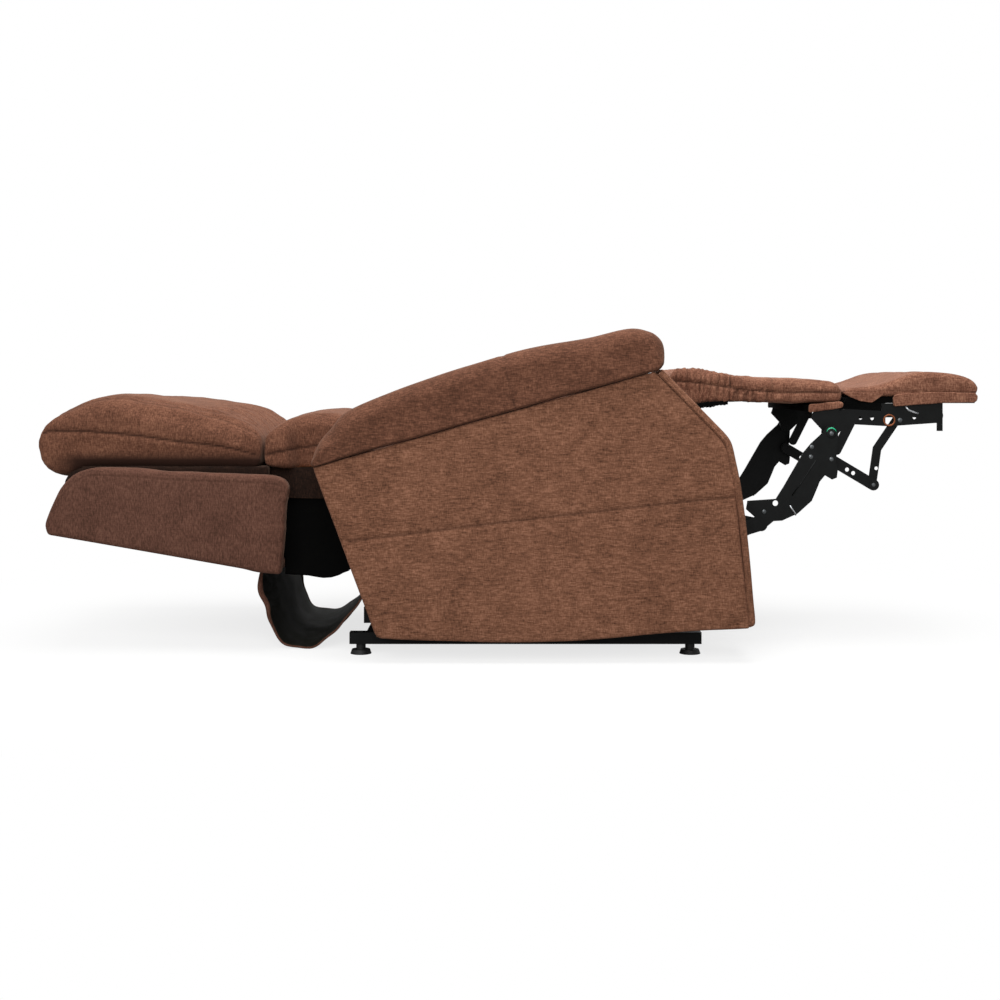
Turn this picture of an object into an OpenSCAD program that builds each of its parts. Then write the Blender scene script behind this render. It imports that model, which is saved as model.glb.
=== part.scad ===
// Power lift recliner, lying flat with the leg rest out and the seat level down on its base.
// +X points to the sitter's feet, +Y to the sitter's left, +Z up.
// The origin is on the floor under the middle of the whole chair.
// Side outlines are lists of [x, z]; they run anticlockwise as seen from the right side.

/* [Width] */
// Clear width between the two arms
seat_gap = 530; // [500:1:580]
// Width of each arm over its pad
arm_width = 175; // [150:1:200]
// How far the arm pad stands out past the side panel
pad_overhang = 6; // [2:1:12]
// Half width of the calf pad, foot pad and seat front roll
leg_pad_half = 245; // [225:1:248]
// Half width of the upper back cushion
back_pad_half = 288; // [260:1:292]
// Clearance between the lumbar cushion and each arm
lumbar_clearance = 27; // [24:1:60]
// Half width over the two back wings
wing_half = 330; // [322:1:345]
// Thickness of a back wing
wing_t = 32; // [20:1:34]
// Clearance between the rear flap and each arm
flap_clearance = 3; // [2:1:20]

/* [Arms] */
// Thickness of the side panels of an arm
arm_panel_t = 12; // [8:1:18]
// Depth of the border panel along the front of an arm
arm_border_t = 14; // [8:1:20]
// Width of the timber in the arm frame
arm_timber = 36; // [24:1:46]
// Thickness of an arm pad at its middle
arm_pad_h = 119; // [100:1:130]
// Radius of the drawn-in edge of an arm pad
arm_pad_edge = 26; // [15:1:32]

/* [Seat] */
// Thickness of the seat cushion
seat_pad_h = 142; // [110:1:150]
// Height of the seat cushion's underside at its rear edge
seat_rear_z = 357; // [352:1:362]
// Slope of the seat in degrees
seat_slope = 9.4; // [8.6:0.1:10]
// Diameter of the seat's cross rails
seat_rail_d = 20; // [14:1:22]
// Thickness of a flat spring wire
spring_d = 4; // [3:0.5:4.5]
// Number of springs side by side
spring_count = 5; // [3:1:6]

/* [Back] */
// Recline pivot, distance forward of the origin
recline_x = -280; // [-284:1:-276]
// Recline pivot, height over the floor
recline_z = 380; // [376:1:384]
// Length of the recline lever from its pivot to the actuator's pin
recline_lever = 85; // [80:1:88]
// Thickness of the padded panel that closes the back
back_panel_t = 18; // [10:1:24]
// Height of the back's side rails
back_rail_h = 30; // [20:1:34]

/* [Linkage] */
// Thickness of a steel link
link_t = 4; // [3:0.5:4.5]
// Gap between neighbouring links
washer_gap = 2; // [1.6:0.1:2.4]
// Diameter of the linkage rivets
rivet_d = 10; // [8:0.5:11]
// Diameter of a rivet head
rivet_head_d = 18; // [16:0.5:20]
// Radial running clearance of a rivet in its hole
pivot_play = 0.15; // [0.1:0.05:0.3]
// Diameter of the cross tubes in the chair
cross_tube_d = 24; // [18:1:26]
// Length of the leg rest drive lever
leg_lever = 80; // [76:1:84]

/* [Base] */
// Height of a foot
foot_h = 20; // [14:1:24]
// Diameter of a foot pad
foot_d = 44; // [30:1:50]
// Height of the base rails and base cross tubes
rail_h = 24; // [20:1:26]
// Width of a base rail
rail_w = 25; // [20:1:30]
// Distance of a base rail's centre from the middle of the chair
rail_y = 310; // [300:1:330]
// Rear end of the base rails
rail_rear_x = -337; // [-345:1:-330]
// Front end of the base rails
rail_front_x = 395; // [385:1:400]
// Place of the rear feet
rear_foot_x = -314; // [-318:1:-308]
// Place of the front feet
front_foot_x = 372; // [366:1:378]

/* [Lift] */
// Height of the lift arm's bars
lift_bar_h = 30; // [24:1:32]
// Thickness of the lift arm's bars
lift_bar_t = 8; // [6:0.5:9]
// Length of the lift lever from the front pivot
lift_lever = 150; // [140:1:156]

/* [Actuators] */
// Outer diameter of an actuator's tube
act_tube_d = 34; // [30:1:38]
// Diameter of an actuator's rod
act_rod_d = 18; // [14:1:20]
// Width of an actuator's motor housing
act_motor_w = 60; // [50:1:64]

/* [Hidden] */
$fn = 48;

// Clearance between a soft piece and what it rests on
rest_gap = 0.3;
// Clearance between the lower back roll and the layer of the recline brackets
roll_clearance = 4.7;
// Colours
brown = [0.44, 0.28, 0.22];
brown_dark = [0.36, 0.23, 0.18];
black_steel = [0.09, 0.09, 0.1];
black_cloth = [0.06, 0.06, 0.06];
bright_steel = [0.7, 0.7, 0.72];
timber = [0.72, 0.58, 0.4];

// ---- Fixed points of the mechanism, [x, z] ----
seat_half = seat_gap / 2;
lumbar_half = seat_half - lumbar_clearance;
flap_half = seat_half - flap_clearance;
recline_pivot = [recline_x, recline_z];
// Crank pivots on the chair and where the cranks hold the main link
front_crank_pivot = [376, 294];
crank_reach = [154, -32];
front_crank_end = front_crank_pivot + crank_reach;
rear_crank_pivot = [240, 257];
rear_crank_end = rear_crank_pivot + crank_reach;
// Pivots on the main link: leg rest bracket, then drop link
legrest_pivot = [677.6, 459.2];
drop_pivot = [677.6, 402];
drop_end = [771, 346.5];
strut_bend = [781.8, 423];
strut_top = [822, 482.6];
// Lift linkage
lift_front = [247, 89];
lift_rear = [-217, 97];
stay_front = [321, 97];
stay_rear = [26, 129];
lift_lever_end = lift_front + lift_lever * [cos(120), sin(120)];
// Cross tubes fixed between the mechanism plates
rear_tube_at = [-235, 180];
front_tube_at = [230, 300];
// Recline lever's cross bar and the leg rest drive lever's end
recline_bar_reach = recline_lever + 30;
recline_bar_at = recline_pivot + recline_bar_reach * [cos(-45), sin(-45)];
recline_lever_end = recline_pivot + recline_lever * [cos(-32), sin(-32)];
legrest_lever_end = rear_crank_pivot + leg_lever * [cos(-17.1), sin(-17.1)];
// Actuator anchors and the planes they work in
lift_anchor = [-290, 80];
recline_anchor = front_tube_at + [-28, 1];
legrest_anchor = rear_tube_at + [28, 3];
lift_plane = 0;
recline_plane = 90;
legrest_plane = -90;

// ---- Outlines, [x, z] ----
arm_outline = [[-272, 52], [-60, 43], [110, 46], [376, 66], [490, 72], [460, 366], [442, 447], [303, 591],
               [-400, 394]];
arm_last = len(arm_outline) - 1;
arm_front_line = [for (i = [1:4]) arm_outline[arm_last - i]];
arm_rear_line = [arm_outline[0], arm_outline[arm_last]];
// Top of the arm pad: x, then height over the arm as a share of the pad's thickness
arm_pad_form = [[308, 0.12], [306, 0.41], [280, 0.707], [236, 0.861], [156, 0.897], [-4, 1.004],
                [-164, 0.959], [-244, 0.911], [-334, 0.786], [-366, 0.576], [-400, 0.219]];
wing_outline = [[-963, 252], [-478, 169], [-471, 230], [-469, 300], [-460, 346], [-470, 363], [-492, 371],
                [-573, 375], [-708, 379.5], [-797, 386], [-872, 389], [-906, 378], [-937, 347],
                [-956, 302], [-968, 268]];
upper_pad_outline = [[-940, 383], [-840, 381], [-735, 381], [-630, 381], [-545, 382.6], [-522, 396],
                     [-519, 440], [-530, 470], [-590, 508], [-694, 534], [-832, 543], [-930, 527],
                     [-983, 484], [-994, 440], [-978, 399]];
lumbar_outline = [[-500, 382], [-440, 381], [-380, 381], [-325, 382], [-297, 394], [-293, 430],
                  [-312, 470], [-355, 496], [-402, 503], [-455, 495], [-498, 466], [-515, 425],
                  [-513, 395]];
lower_roll_outline = [[-284, 356], [-234, 356], [-217, 370], [-217, 388], [-232, 399], [-274, 402],
                      [-288, 412], [-291.2, 426], [-291.7, 394], [-290.5, 366]];
seat_roll_outline = [[342, 462], [366, 496], [396, 515], [440, 522], [459, 534], [462, 558], [459, 578],
                     [440, 586], [400, 592], [360, 592], [342, 582], [338.4, 560], [338.3, 520],
                     [338.5, 470]];
calf_pad_outline = [[480, 529], [560, 525], [640, 521.5], [695, 521], [708, 526], [710, 538],
                    [700, 556], [657, 567], [551, 574], [490, 580], [472, 574], [467, 556],
                    [470, 537]];
foot_pad_outline = [[722, 534.5], [800, 533.6], [880, 533.6], [960, 533.6], [988, 535], [994, 544],
                    [984, 558], [960, 572], [902, 584], [785, 578], [730, 568], [712, 556],
                    [712, 543]];
main_link_outline = [[380, 214], [394, 209], [420, 214], [461, 222], [505, 243], [531, 251],
                     [555, 271], [573, 272], [606, 287], [636, 314], [647, 340], [653, 355], [664, 368], [679, 359], [689, 363],
                     [691, 379], [687, 395], [690, 430], [692, 459], [686, 472], [668, 472],
                     [660, 459], [634, 435], [618, 416], [577, 345], [560, 318], [500, 314],
                     [497, 296], [515, 280], [470, 260], [420, 246], [390, 241], [379, 232]];
flap_route = [[-525, 174.9], [-523, 140], [-508, 90], [-482, 38], [-455, 10], [-430, 10], [-400, 30],
              [-365, 68], [-335, 108], [-290, 150], [-254, 172]];
liner_outline = [[-395, 148], [-350, 158], [-330, 180], [-320, 240], [-345, 350.3], [-470.7, 350.3], [-470.7, 166]];

// ---- Helper functions ----
function spline(a, b, c, d, t) =
    0.5 * (2 * b + (c - a) * t + (2 * a - 5 * b + 4 * c - d) * t * t + (3 * b - a - 3 * c + d) * t * t * t);
function smooth(pts, n) = let (m = len(pts))
    [for (i = [0:m - 1]) for (k = [0:n - 1])
        spline(pts[(i + m - 1) % m], pts[i], pts[(i + 1) % m], pts[(i + 2) % m], k / n)];
// Draws an outline in by r towards the line between the two points of core, and lifts its upper side
function drawn_in(pts, core, r, lift) = let (way = core[1] - core[0])
    [for (p = pts) let (
        t = min(1, max(0, ((p - core[0]) * way) / (way * way))),
        to_core = core[0] + t * way - p,
        far = norm(to_core))
        p + to_core * min(r / far, 0.7) + [0, lift * max(0, -to_core.y / far)]];
function middle(pts, i = 0) = i == len(pts) - 1 ? pts[i] / len(pts) : pts[i] / len(pts) + middle(pts, i + 1);
function angle_of(a, b) = atan2(b.y - a.y, b.x - a.x);
function seat_under(x) = seat_rear_z + (x + 183) * tan(seat_slope);
function reverse(pts) = [for (i = [len(pts) - 1:-1:0]) pts[i]];
// Inner face of layer n, counted inwards from the arm's inner panel
function layer(n) = seat_half - rest_gap - (n + 1) * link_t - n * washer_gap;
main_layer = layer(0);
crank_layer = layer(1);
plate_layer = layer(2);
drop_layer = layer(3);
bracket_layer = layer(4);
strut_layer = layer(5);

// ---- Helper modules ----
module on_side(side) mirror([0, side < 0 ? 1 : 0, 0]) children();
module both_sides() {
    children();
    mirror([0, 1, 0]) children();
}
// A side outline made into a board from y upwards
module slab(y, t) translate([0, y + t, 0]) rotate([90, 0, 0]) linear_extrude(t) children();
module rod_y(p, d, y0, y1) translate([p.x, y1, p.y]) rotate([90, 0, 0]) cylinder(d = d, h = y1 - y0);
// The straight part of a bar is this much narrower than its round ends, so that they meet at a true corner
bar_step = 0.1;
module bar(a, b, w) translate(a) rotate(angle_of(a, b))
    translate([0, (bar_step - w) / 2]) square([norm(b - a), w - bar_step]);
// Bars from point to point, with round ends and corners
module strap(pts, w) {
    for (p = pts) translate(p) circle(d = w);
    for (i = [0:len(pts) - 2]) bar(pts[i], pts[i + 1], w);
}
// Bars along each pair of points in links, with one round end at each point
module web(pts, links, w) {
    for (p = pts) translate(p) circle(d = w);
    for (l = links) bar(pts[l[0]], pts[l[1]], w);
}
module holes(pts, d) for (p = pts) translate(p) circle(d = d);
// A rivet through links between y0 and y1, with a flat head at each end that is asked for
module rivet(p, y0, y1, head_low = true, head_high = true) {
    head_t = washer_gap * 0.6;
    rod_y(p, rivet_d, y0 - (head_low ? head_t : 0), y1 + (head_high ? head_t : 0));
    if (head_low) rod_y(p, rivet_head_d, y0 - head_t, y0);
    if (head_high) rod_y(p, rivet_head_d, y1, y1 + head_t);
}
// A cushion: a side outline swept across the chair, its edges drawn in towards the line core
// and its middle crowned
module cushion(outline, core, y_mid, half, edge, crown) {
    steps = 3;
    // Each ring is [y, drawn in by, lifted by]
    rise = [for (k = [0:steps]) [-half + edge * (1 - cos(90 * k / steps)), edge * (1 - sin(90 * k / steps)), 0]];
    fall = [for (k = [steps:-1:0]) [-rise[k][0], rise[k][1], 0]];
    rings = concat(rise, [for (k = [-1:1]) [k * half * 0.5, 0, k == 0 ? crown : crown * 0.7]], fall);
    n = len(outline);
    last = len(rings) - 1;
    shapes = [for (r = rings) drawn_in(outline, core, r[1], r[2])];
    pts = concat(
        [for (j = [0:last]) for (p = shapes[j]) [p.x, y_mid + rings[j][0], p.y]],
        [for (j = [0, last]) let (c = middle(shapes[j])) [c.x, y_mid + rings[j][0], c.y]]);
    sides = [for (j = [0:last - 1]) for (i = [0:n - 1]) for (h = [0, 1])
        let (a = j * n + i, b = j * n + (i + 1) % n)
        h == 0 ? [a, b, a + n] : [b, b + n, a + n]];
    caps = concat(
        [for (i = [0:n - 1]) [(i + 1) % n, i, (last + 1) * n]],
        [for (i = [0:n - 1]) [last * n + i, last * n + (i + 1) % n, (last + 1) * n + 1]]);
    polyhedron(pts, concat(sides, caps), convexity = 4);
}
// Flat sinuous spring from x = 0 to length, lying in the XY plane
module sinuous(length, swing, count) {
    pts = [for (i = [0:count]) [length * i / count, i == 0 || i == count ? 0 : (i % 2 == 0 ? swing : -swing)]];
    linear_extrude(spring_d) strap(pts, spring_d);
}

// ---- Base ----
rail_low = foot_h + 1;
rail_top = rail_low + rail_h;
module base_rails() color(black_steel) both_sides()
    translate([rail_rear_x, rail_y - rail_w / 2, rail_low])
        cube([rail_front_x - rail_rear_x, rail_w, rail_h]);
module base_cross_tubes() color(black_steel)
    for (x = [lift_anchor.x, lift_front.x + 38])
        translate([x - rail_w / 2, -rail_y + rail_w / 2, rail_low])
            cube([rail_w, 2 * rail_y - rail_w, rail_h]);
module foot(x) {
    translate([x, rail_y, 0]) cylinder(d1 = foot_d, d2 = foot_d * 0.86, h = foot_h * 0.45);
    translate([x, rail_y, 0]) cylinder(d = foot_d * 0.45, h = rail_low);
}
module front_feet() color(black_steel) both_sides() foot(front_foot_x);
module rear_feet() color(black_steel) both_sides() foot(rear_foot_x);
// Planes of the lift linkage, counted inwards
bracket_t = 6;
base_bracket_y = 236;
stay_y = base_bracket_y - washer_gap - lift_bar_t;
lift_bar_y = stay_y - washer_gap - lift_bar_t;
module base_brackets() color(black_steel) {
    both_sides() slab(base_bracket_y, bracket_t) difference() {
        union() {
            strap([lift_front, stay_front], 34);
            translate([lift_front.x + 18, rail_top]) square([40, lift_front.y - rail_top]);
        }
        holes([lift_front, stay_front], rivet_d);
    }
    for (s = [-1, 1]) slab(lift_plane + s * 15 - bracket_t / 2, bracket_t) difference() {
        union() {
            translate(lift_anchor) circle(d = 28);
            translate([lift_anchor.x - 14, rail_top]) square([28, lift_anchor.y - rail_top]);
        }
        translate(lift_anchor) circle(d = rivet_d);
    }
}
module base_pins() color(bright_steel) {
    both_sides() {
        rivet(lift_front, lift_bar_y + 0.2, base_bracket_y + bracket_t, false, true);
        rivet(stay_front, stay_y, base_bracket_y + bracket_t);
    }
    rivet(lift_anchor, lift_plane - 15 - bracket_t / 2, lift_plane + 15 + bracket_t / 2);
}
unit_size = [80, 110, 34];
unit_at = [-318, -200];
socket_d = 12;
socket_depth = 8;
// Power unit with three sockets for the actuators and an inlet for the mains adaptor
module power_unit() color(black_cloth) difference() {
    translate([unit_at.x, unit_at.y, rail_top]) cube(unit_size);
    for (i = [1:3])
        translate([unit_at.x + unit_size.x - socket_depth, unit_at.y + unit_size.y * i / 4, rail_top + unit_size.z / 2])
            rotate([0, 90, 0]) cylinder(d = socket_d, h = socket_depth + 1);
    translate([unit_at.x - 1, unit_at.y + unit_size.y / 2, rail_top + unit_size.z / 2])
        rotate([0, 90, 0]) cylinder(d = socket_d, h = socket_depth + 1);
}

// ---- Lift arms and stays ----
module lift_arms() color(black_steel) both_sides() slab(lift_bar_y, lift_bar_t) difference() {
    strap([lift_rear, lift_front], lift_bar_h);
    holes([lift_rear, lift_front], rivet_d + 2 * pivot_play);
}
module lift_cross_tube() color(black_steel) {
    rod_y(lift_front, cross_tube_d, -lift_bar_y, lift_bar_y);
    for (s = [-1, 1]) slab(lift_plane + s * 27 - bracket_t / 2, bracket_t) difference() {
        strap([lift_front, lift_lever_end], 30);
        translate(lift_lever_end) circle(d = rivet_d);
    }
}
// Studs in the lift lever; they stop short of the rod end, because the linkage is open here
module lift_pins() color(bright_steel) for (s = [-1, 1])
    rod_y(lift_lever_end, rivet_d, lift_plane + s * 19 - 13, lift_plane + s * 19 + 13);
module stabiliser_links() color(black_steel) both_sides() slab(stay_y, lift_bar_t) difference() {
    union() {
        strap([stay_rear, stay_front], 18);
        translate(stay_rear) circle(d = 34);
    }
    holes([stay_front], rivet_d + 2 * pivot_play);
    // The rear hole is wide: the lift linkage is open here
    holes([stay_rear], rivet_d + 10);
}

// ---- Actuators, drawn along +X from their anchor ----
module motor_body(length, bore_depth) {
    difference() {
        union() {
            translate([0, 8, 0]) rotate([90, 0, 0]) cylinder(d = 24, h = 16);
            translate([0, -8, -9]) cube([20, 16, 18]);
            translate([18, -act_motor_w * 0.35, -act_motor_w / 2]) cube([104, act_motor_w * 0.7, act_motor_w]);
            translate([110, 0, 0]) rotate([0, 90, 0]) cylinder(d = act_tube_d, h = length - 110);
        }
        translate([0, 20, 0]) rotate([90, 0, 0]) cylinder(d = rivet_d + 2 * pivot_play, h = 40);
        translate([length - bore_depth, 0, 0]) rotate([0, 90, 0]) cylinder(d = act_rod_d + 1, h = bore_depth + 1);
    }
}
// Rod with an eye at its end, from start to reach along +X
rod_eye_d = 26;
rod_eye_t = 10;
module rod_body(start, reach) {
    translate([start, 0, 0]) rotate([0, 90, 0]) cylinder(d = act_rod_d, h = reach - start - rod_eye_d / 2 + 2);
    difference() {
        translate([reach, rod_eye_t / 2, 0]) rotate([90, 0, 0]) cylinder(d = rod_eye_d, h = rod_eye_t);
        translate([reach, 6, 0]) rotate([90, 0, 0]) cylinder(d = rivet_d + 2, h = 12);
    }
}
module aim(anchor, target, plane) translate([anchor.x, plane, anchor.y])
    rotate([0, -angle_of(anchor, target), 0]) children();
lift_reach = norm(lift_lever_end - lift_anchor);
recline_reach = norm(recline_lever_end - recline_anchor);
legrest_reach = norm(legrest_lever_end - legrest_anchor);
legrest_stroke = 145;
module lift_motor() color(black_cloth) aim(lift_anchor, lift_lever_end, lift_plane)
    motor_body(lift_reach - 30, lift_reach - 160);
module lift_rod() color(bright_steel) aim(lift_anchor, lift_lever_end, lift_plane)
    rod_body(lift_reach - 250, lift_reach);
module recline_motor() color(black_cloth) aim(recline_anchor, recline_lever_end, recline_plane)
    motor_body(recline_reach - 95, recline_reach - 225);
module recline_rod() color(bright_steel) aim(recline_anchor, recline_lever_end, recline_plane)
    rod_body(recline_reach - 215, recline_reach);
module legrest_motor() color(black_cloth) aim(legrest_anchor, legrest_lever_end, legrest_plane)
    motor_body(legrest_reach - legrest_stroke - 30, legrest_reach - legrest_stroke - 160);
module legrest_rod() color(bright_steel) aim(legrest_anchor, legrest_lever_end, legrest_plane)
    rod_body(legrest_reach - legrest_stroke - 80, legrest_reach);

// ---- Carriage: everything that the lift arms raise ----
carriage_rail_y = seat_half;
carriage_rail_z = 80;
carriage_rail_h = 32;
module carriage_rails() color(black_steel) both_sides()
    translate([-240, carriage_rail_y, carriage_rail_z]) cube([640, 24, carriage_rail_h]);
// Hangers inside the carriage rails, with the rear pins of the lift arms and stays
module lift_hangers() color(black_steel) both_sides() {
    slab(carriage_rail_y - bracket_t, bracket_t) {
        translate(lift_rear) circle(d = 34);
        strap([stay_rear, [stay_rear.x, 100]], 34);
    }
    rivet(lift_rear, lift_bar_y, carriage_rail_y, true, false);
    rivet(stay_rear, stay_y, carriage_rail_y, true, false);
}
// Two ears on a cross tube with the pin that an actuator swings on
module clevis(tube_at, anchor, plane) {
    for (s = [-1, 1]) slab(plane + s * 14 - 3, 6) strap([tube_at, anchor], 26);
    rod_y(anchor, rivet_d, plane - 14, plane + 14);
}
module carriage_cross_tubes() color(black_steel) {
    for (p = [rear_tube_at, front_tube_at])
        rod_y(p, cross_tube_d, -plate_layer, plate_layer);
    clevis(front_tube_at, recline_anchor, recline_plane);
    clevis(rear_tube_at, legrest_anchor, legrest_plane);
}
plate_points = [recline_pivot, [-215, 322], [-60, 290], [120, 290], front_tube_at, front_crank_pivot,
                rear_crank_pivot, [-205, 236], rear_tube_at];
plate_bars = [[0, 1], [1, 2], [2, 3], [3, 4], [4, 5], [4, 6], [5, 6], [1, 7], [7, 8]];
module mechanism_plates() color(black_steel) both_sides() {
    slab(plate_layer, link_t) difference() {
        web(plate_points, plate_bars, 32);
        holes([recline_pivot, front_crank_pivot], rivet_d + 2 * pivot_play);
        holes([rear_crank_pivot], cross_tube_d + 2 * pivot_play);
    }
    // Spacers to the inner arm panel
    for (i = [2, 3, 7]) rod_y(plate_points[i], 22, plate_layer + link_t / 2, seat_half - rest_gap);
}
seat_rail_outer = 222;
seat_rail_w = 28;
rail_drop = 26;
module seat_side_rails() color(timber) both_sides() {
    slab(seat_rail_outer - seat_rail_w, seat_rail_w) polygon([
        [-150, seat_under(-150) - 5 - rail_drop], [334, seat_under(334) - 5 - rail_drop],
        [334, seat_under(334) - 5], [-150, seat_under(-150) - 5]]);
    // Outriggers to the mechanism plates
    for (x = [-80, 120]) slab(seat_rail_outer, plate_layer - seat_rail_outer) polygon([
        [x, 286], [x + 36, 286], [x + 36, seat_under(x + 36) - 6], [x, seat_under(x) - 6]]);
}
module seat_cross_rails() color(black_steel)
    for (x = [-138, 318])
        rod_y([x, seat_under(x) - 0.8 - spring_d - seat_rail_d / 2], seat_rail_d,
              -(seat_rail_outer - seat_rail_w), seat_rail_outer - seat_rail_w);
module seat_springs() color(bright_steel) {
    half = seat_rail_outer - seat_rail_w - 40;
    for (i = [0:spring_count - 1])
        translate([-138, -half + 2 * half * i / (spring_count - 1), seat_under(-138) - 0.4 - spring_d])
            rotate([0, -seat_slope, 0]) sinuous(456 / cos(seat_slope), 20, 16);
}
// Seat cushion: flat underside on the springs, crowned top
function seat_pad_outline() = [for (p = [[-170, 0], [-80, 0], [20, 0], [120, 0], [220, 0], [322, 0],
    [336, 0.1], [338, 0.5], [334, 0.9], [300, 1], [220, 1.02], [120, 1.03], [20, 1.03], [-80, 1.0],
    [-160, 0.96], [-179, 0.86], [-183, 0.5], [-181, 0.1]]) [p.x, seat_under(p.x) + p.y * seat_pad_h]];
seat_core = [for (x = [-110, 265]) [x, seat_under(x) + 0.5 * seat_pad_h]];
module seat_cushion() color(brown) cushion(seat_pad_outline(), seat_core, 0, seat_half - 3, 20, 4);
module seat_front_roll() color(brown)
    cushion(smooth(seat_roll_outline, 2), [[362, 525], [425, 560]], 0, leg_pad_half, 14, 2);

// ---- Arms ----
arm_outer_y = seat_half + arm_width;
panel_outer_y = arm_outer_y - pad_overhang - arm_panel_t;
panel_inner_end = seat_half + arm_panel_t;
module arm_outer(side) color(brown) on_side(side) slab(panel_outer_y, arm_panel_t) polygon(arm_outline);
module arm_inner(side) color(brown) on_side(side) slab(seat_half, arm_panel_t)
    polygon([[-290, 112], [480, 112], [456, 364], [438, 440], [298, 586], [-394, 392]]);
module arm_border(side) color(brown_dark) on_side(side)
    slab(panel_inner_end, panel_outer_y - panel_inner_end) {
        polygon(concat(arm_front_line, reverse([for (i = [0:3])
            arm_front_line[i] - arm_border_t * [[0.6, 0.75], [0.9, 0.45], [1, 0.15], [1, 0]][i]])));
        polygon(concat(reverse(arm_rear_line), [for (i = [0:1])
            arm_rear_line[i] + arm_border_t * [[1, 0.2], [1, 0.3]][i]]));
    }
// Four timbers that span between the inner and outer panels, with small gaps at the corners
module arm_frame(side) color(timber) on_side(side)
    slab(panel_inner_end, panel_outer_y - panel_inner_end) {
        polygon([[-355, 390], [-355 + arm_timber, 395], [-235 + arm_timber, 114], [-270, 114]]);
        polygon([[460 - arm_timber, 114], [460, 114], [444, 350], [444 - arm_timber, 350]]);
        polygon([[-340, 400], [270, 571], [290, 578 - arm_timber], [-300, 404 - arm_timber * 0.6]]);
        polygon([[-190, 112], [415, 112], [415, 112 + arm_timber], [-205, 112 + arm_timber]]);
    }
// Arm pad: its underside follows the top of the arm, its front end turns down in a full round
function arm_top(x) = let (a = arm_outline[arm_last], b = arm_outline[arm_last - 1])
    a.y + (x - a.x) * (b.y - a.y) / (b.x - a.x);
arm_pad_base = [for (x = [-399, -300, -200, -100, 0, 100, 200, 292]) [x, arm_top(x) + rest_gap]];
arm_pad_core = [[-345, 434], [262, 622]];
module arm_pad(side) color(brown) on_side(side)
    cushion(concat(arm_pad_base, [for (p = arm_pad_form) [p.x, arm_top(p.x) + p.y * arm_pad_h]]),
            arm_pad_core, seat_half + rest_gap + (arm_width - rest_gap) / 2,
            (arm_width - rest_gap) / 2, arm_pad_edge, 0);

// ---- Back ----
recline_bar_d = 16;
back_rail_top = 380.6;
back_rail_y = drop_layer - rest_gap - 28;
module back_side_rails() color(timber) both_sides()
    translate([-900, back_rail_y, back_rail_top - back_rail_h]) cube([556, 28, back_rail_h]);
// Cross rails under the side rails, wide enough to carry the wings
back_cross_half = wing_half - wing_t - rest_gap;
module back_cross_rails() color(timber) for (x = [-890, -540])
    translate([x, -back_cross_half, back_rail_top - 2 * back_rail_h])
        cube([30, 2 * back_cross_half, back_rail_h]);
// Springs from one side rail to the other
module back_springs() color(bright_steel) for (i = [0:spring_count - 1])
    translate([-860 + 440 * i / spring_count, -back_rail_y + spring_d * 0.55, back_rail_top - spring_d - rest_gap])
        rotate([0, 0, 90]) sinuous(2 * back_rail_y - spring_d * 1.1, 20, 16);
module back_panel() color(brown_dark) slab(-wing_half + wing_t, 2 * (wing_half - wing_t)) polygon([
    [-963, 252], [-478, 169], [-471, 170 + back_panel_t], [-948, 254 + back_panel_t], [-940, 338],
    [-949, 340], [-968, 268]]);
module back_wing(side) color(brown) on_side(side) slab(wing_half - wing_t, wing_t) polygon(wing_outline);
module back_liners() color(black_cloth) both_sides()
    slab(back_rail_y + 28 - 2, 2) polygon(liner_outline);
module upper_back_cushion() color(brown)
    cushion(smooth(upper_pad_outline, 2), [[-900, 455], [-600, 450]], 0, back_pad_half, 26, 5);
module lumbar_cushion() color(brown)
    cushion(smooth(lumbar_outline, 2), [[-455, 440], [-350, 437]], 0, lumbar_half, 20, 3);
// The roll lies between the recline brackets
lower_roll_half = drop_layer - roll_clearance;
module lower_back_roll() color(brown)
    cushion(smooth(lower_roll_outline, 2), [[-262, 376], [-240, 376]], 0, lower_roll_half, 10, 0);
module recline_brackets() color(black_steel) both_sides() {
    slab(drop_layer, link_t) difference() {
        union() {
            strap([recline_pivot, [-330, 366], [-520, 366]], 26);
            strap([recline_pivot, recline_bar_at], 26);
        }
        translate(recline_bar_at) circle(d = recline_bar_d);
    }
    rivet(recline_pivot, drop_layer, plate_layer + link_t, true, true);
}
module recline_lever_bar() color(black_steel) {
    rod_y(recline_bar_at, recline_bar_d, -drop_layer - link_t, drop_layer + link_t);
    // Ears for the rod end; their studs stop short of it, because the linkage is open here
    for (s = [-1, 1]) {
        slab(recline_plane + s * 13 - 3, 6) strap([recline_bar_at, recline_lever_end], 18);
        rod_y(recline_lever_end, rivet_d, recline_plane + s * 8 - 2, recline_plane + s * 8 + 2);
    }
}
module rear_flap() color(brown_dark) slab(-flap_half, 2 * flap_half) strap(smooth_open(flap_route, 2), 3);
function smooth_open(pts, n) = let (m = len(pts)) concat(
    [for (i = [0:m - 2]) for (k = [0:n - 1])
        spline(pts[max(i - 1, 0)], pts[i], pts[i + 1], pts[min(i + 2, m - 1)], k / n)], [pts[m - 1]]);

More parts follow.
